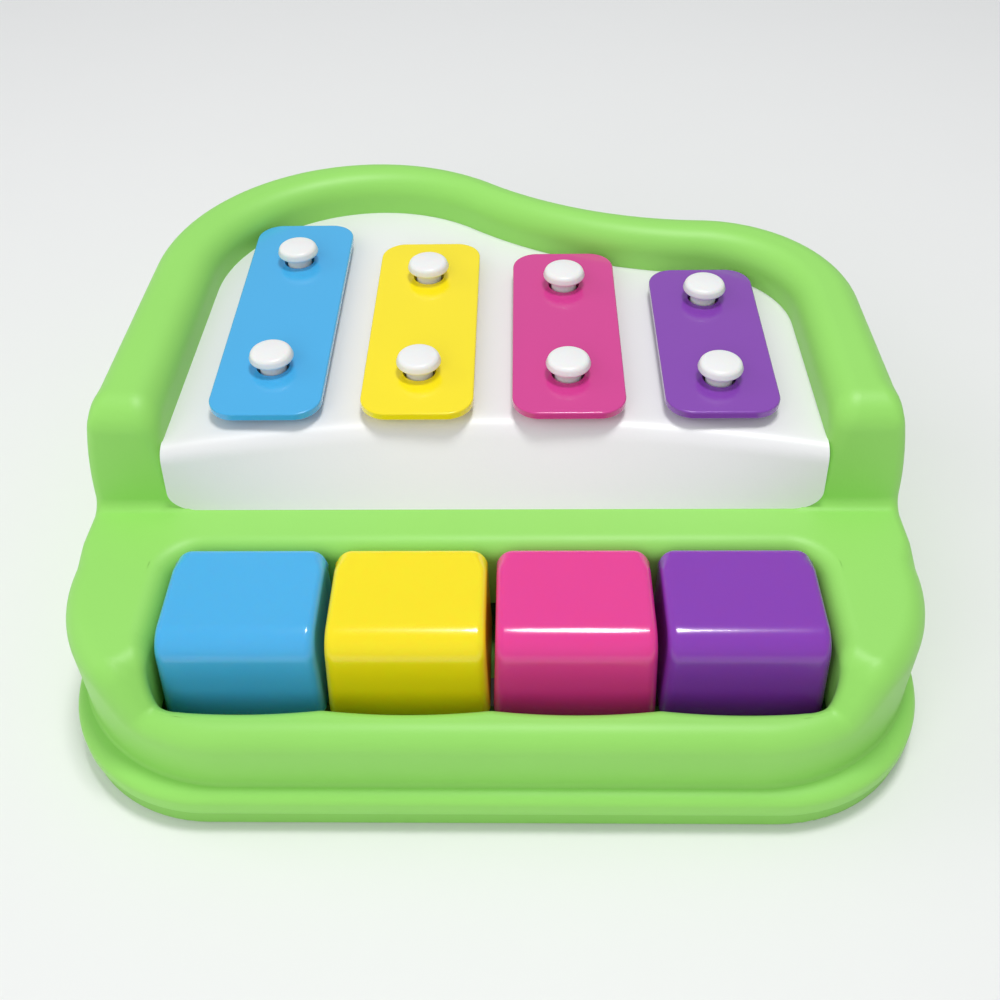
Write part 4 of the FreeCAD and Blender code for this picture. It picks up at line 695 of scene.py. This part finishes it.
def spring(x):
    """A wire circle carried up a helix: it rises slowly over both closed ends and evenly between them."""
    turns = np.linspace(0, SPRING_TURNS, 240)
    rise = np.interp(turns, (0, CLOSED_TURN, SPRING_TURNS - CLOSED_TURN, SPRING_TURNS),
                     (0, CLOSED_RISE, 1 - CLOSED_RISE, 1))
    z = SPRING_LOW + SPRING_WIRE / 2 + rise * (SPRING_HIGH - SPRING_LOW - SPRING_WIRE)
    angle = 2 * math.pi * turns
    out = np.stack((np.cos(angle), np.sin(angle), 0 * angle), -1)
    line = np.stack((x + SPRING_RADIUS * np.cos(angle), SPRING_Y + SPRING_RADIUS * np.sin(angle), z), -1)
    ring = np.linspace(0, 2 * math.pi, 11)[:, None, None]
    size = np.full((len(turns), 1), SPRING_WIRE / 2)
    size[[0, -1]] = 0
    return line + size * (np.cos(ring) * out + np.sin(ring) * np.array((0, 0, 1)))


for colour in KEY_COLOURS:
    coil = build("coil_" + colour, [spring(key_x(colour))], "case", ["key_spring_" + colour], steel)
    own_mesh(coil)

# Floor and light. A plain pale table, a soft light overhead, a broad fill from the front and a weak one from
# the left, with a pale surround.
FLOOR_HALF, TOY_MIDDLE = 3.0, np.array((0, 0, 0.04))
floor_mesh = bpy.data.meshes.new("floor")
corners = [(x * FLOOR_HALF, y * FLOOR_HALF, 0) for x, y in ((-1, -1), (1, -1), (1, 1), (-1, 1))]
floor_mesh.from_pydata(corners, [], [(0, 1, 2, 3)])
floor_mesh.materials.append(surface("floor", linear(240, 240, 238), 0.6, cloud=0.01, grain=0.0))
floor = bpy.data.objects.new("floor", floor_mesh)
bpy.context.scene.collection.objects.link(floor)


def placed(axes, place):
    """Matrix of an object that stands at a place with these three unit directions as its axes."""
    return Matrix([[*row, spot] for row, spot in zip(np.stack(axes, 1), place)] + [[0, 0, 0, 1]])


def soft_light(name, place, size, power, mirrored):
    """A rectangular light at a place, turned so that its face looks at the toy, and seen in gloss or not."""
    lamp = bpy.data.lights.new(name, "AREA")
    lamp.shape = "RECTANGLE"
    lamp.size, lamp.size_y = size
    lamp.energy = power
    light = bpy.data.objects.new(name, lamp)
    away = np.array(place) - TOY_MIDDLE
    away /= np.linalg.norm(away)
    right = np.cross((0, 0, 1), away)
    right /= np.linalg.norm(right)
    light.matrix_world = placed((right, np.cross(away, right), away), place)
    light.visible_glossy = mirrored
    bpy.context.scene.collection.objects.link(light)


soft_light("ceiling", (0.1, 0.1, 1.3), (0.3, 0.26), 7.6, True)
soft_light("front fill", (-0.4, -1.2, 0.9), (1.4, 1.0), 8, False)
soft_light("left fill", (-1.2, 0.2, 0.7), (0.8, 0.8), 2.4, False)
world = bpy.data.worlds.new("surround")
bpy.context.scene.world = world
world.use_nodes = True
sky = world.node_tree.nodes["Background"]
sky.inputs["Color"].default_value = (0.92, 0.95, 1.0, 1.0)
sky.inputs["Strength"].default_value = 0.4

# Camera. Held in front of and above the toy, a little to the right and rolled by a degree and a half.
pitch, yaw, roll = (math.radians(angle) for angle in (43.0, -1.998, -1.53))
ahead = np.array((math.sin(yaw) * math.cos(pitch), math.cos(yaw) * math.cos(pitch), -math.sin(pitch)))
level = np.array((math.cos(yaw), -math.sin(yaw), 0))
above = np.cross(level, ahead)
right = math.cos(roll) * level + math.sin(roll) * above
up = math.cos(roll) * above - math.sin(roll) * level
lens = bpy.data.cameras.new("camera")
lens.lens, lens.sensor_width = 42.24, 36.0
lens.shift_x, lens.shift_y = 0.00749, -0.01202
camera = bpy.data.objects.new("camera", lens)
place = (0.008545, -0.28654, 0.28277)
camera.matrix_world = placed((right, up, -ahead), place)
bpy.context.scene.collection.objects.link(camera)
bpy.context.scene.camera = camera
bpy.context.scene.view_settings.view_transform = "Standard"
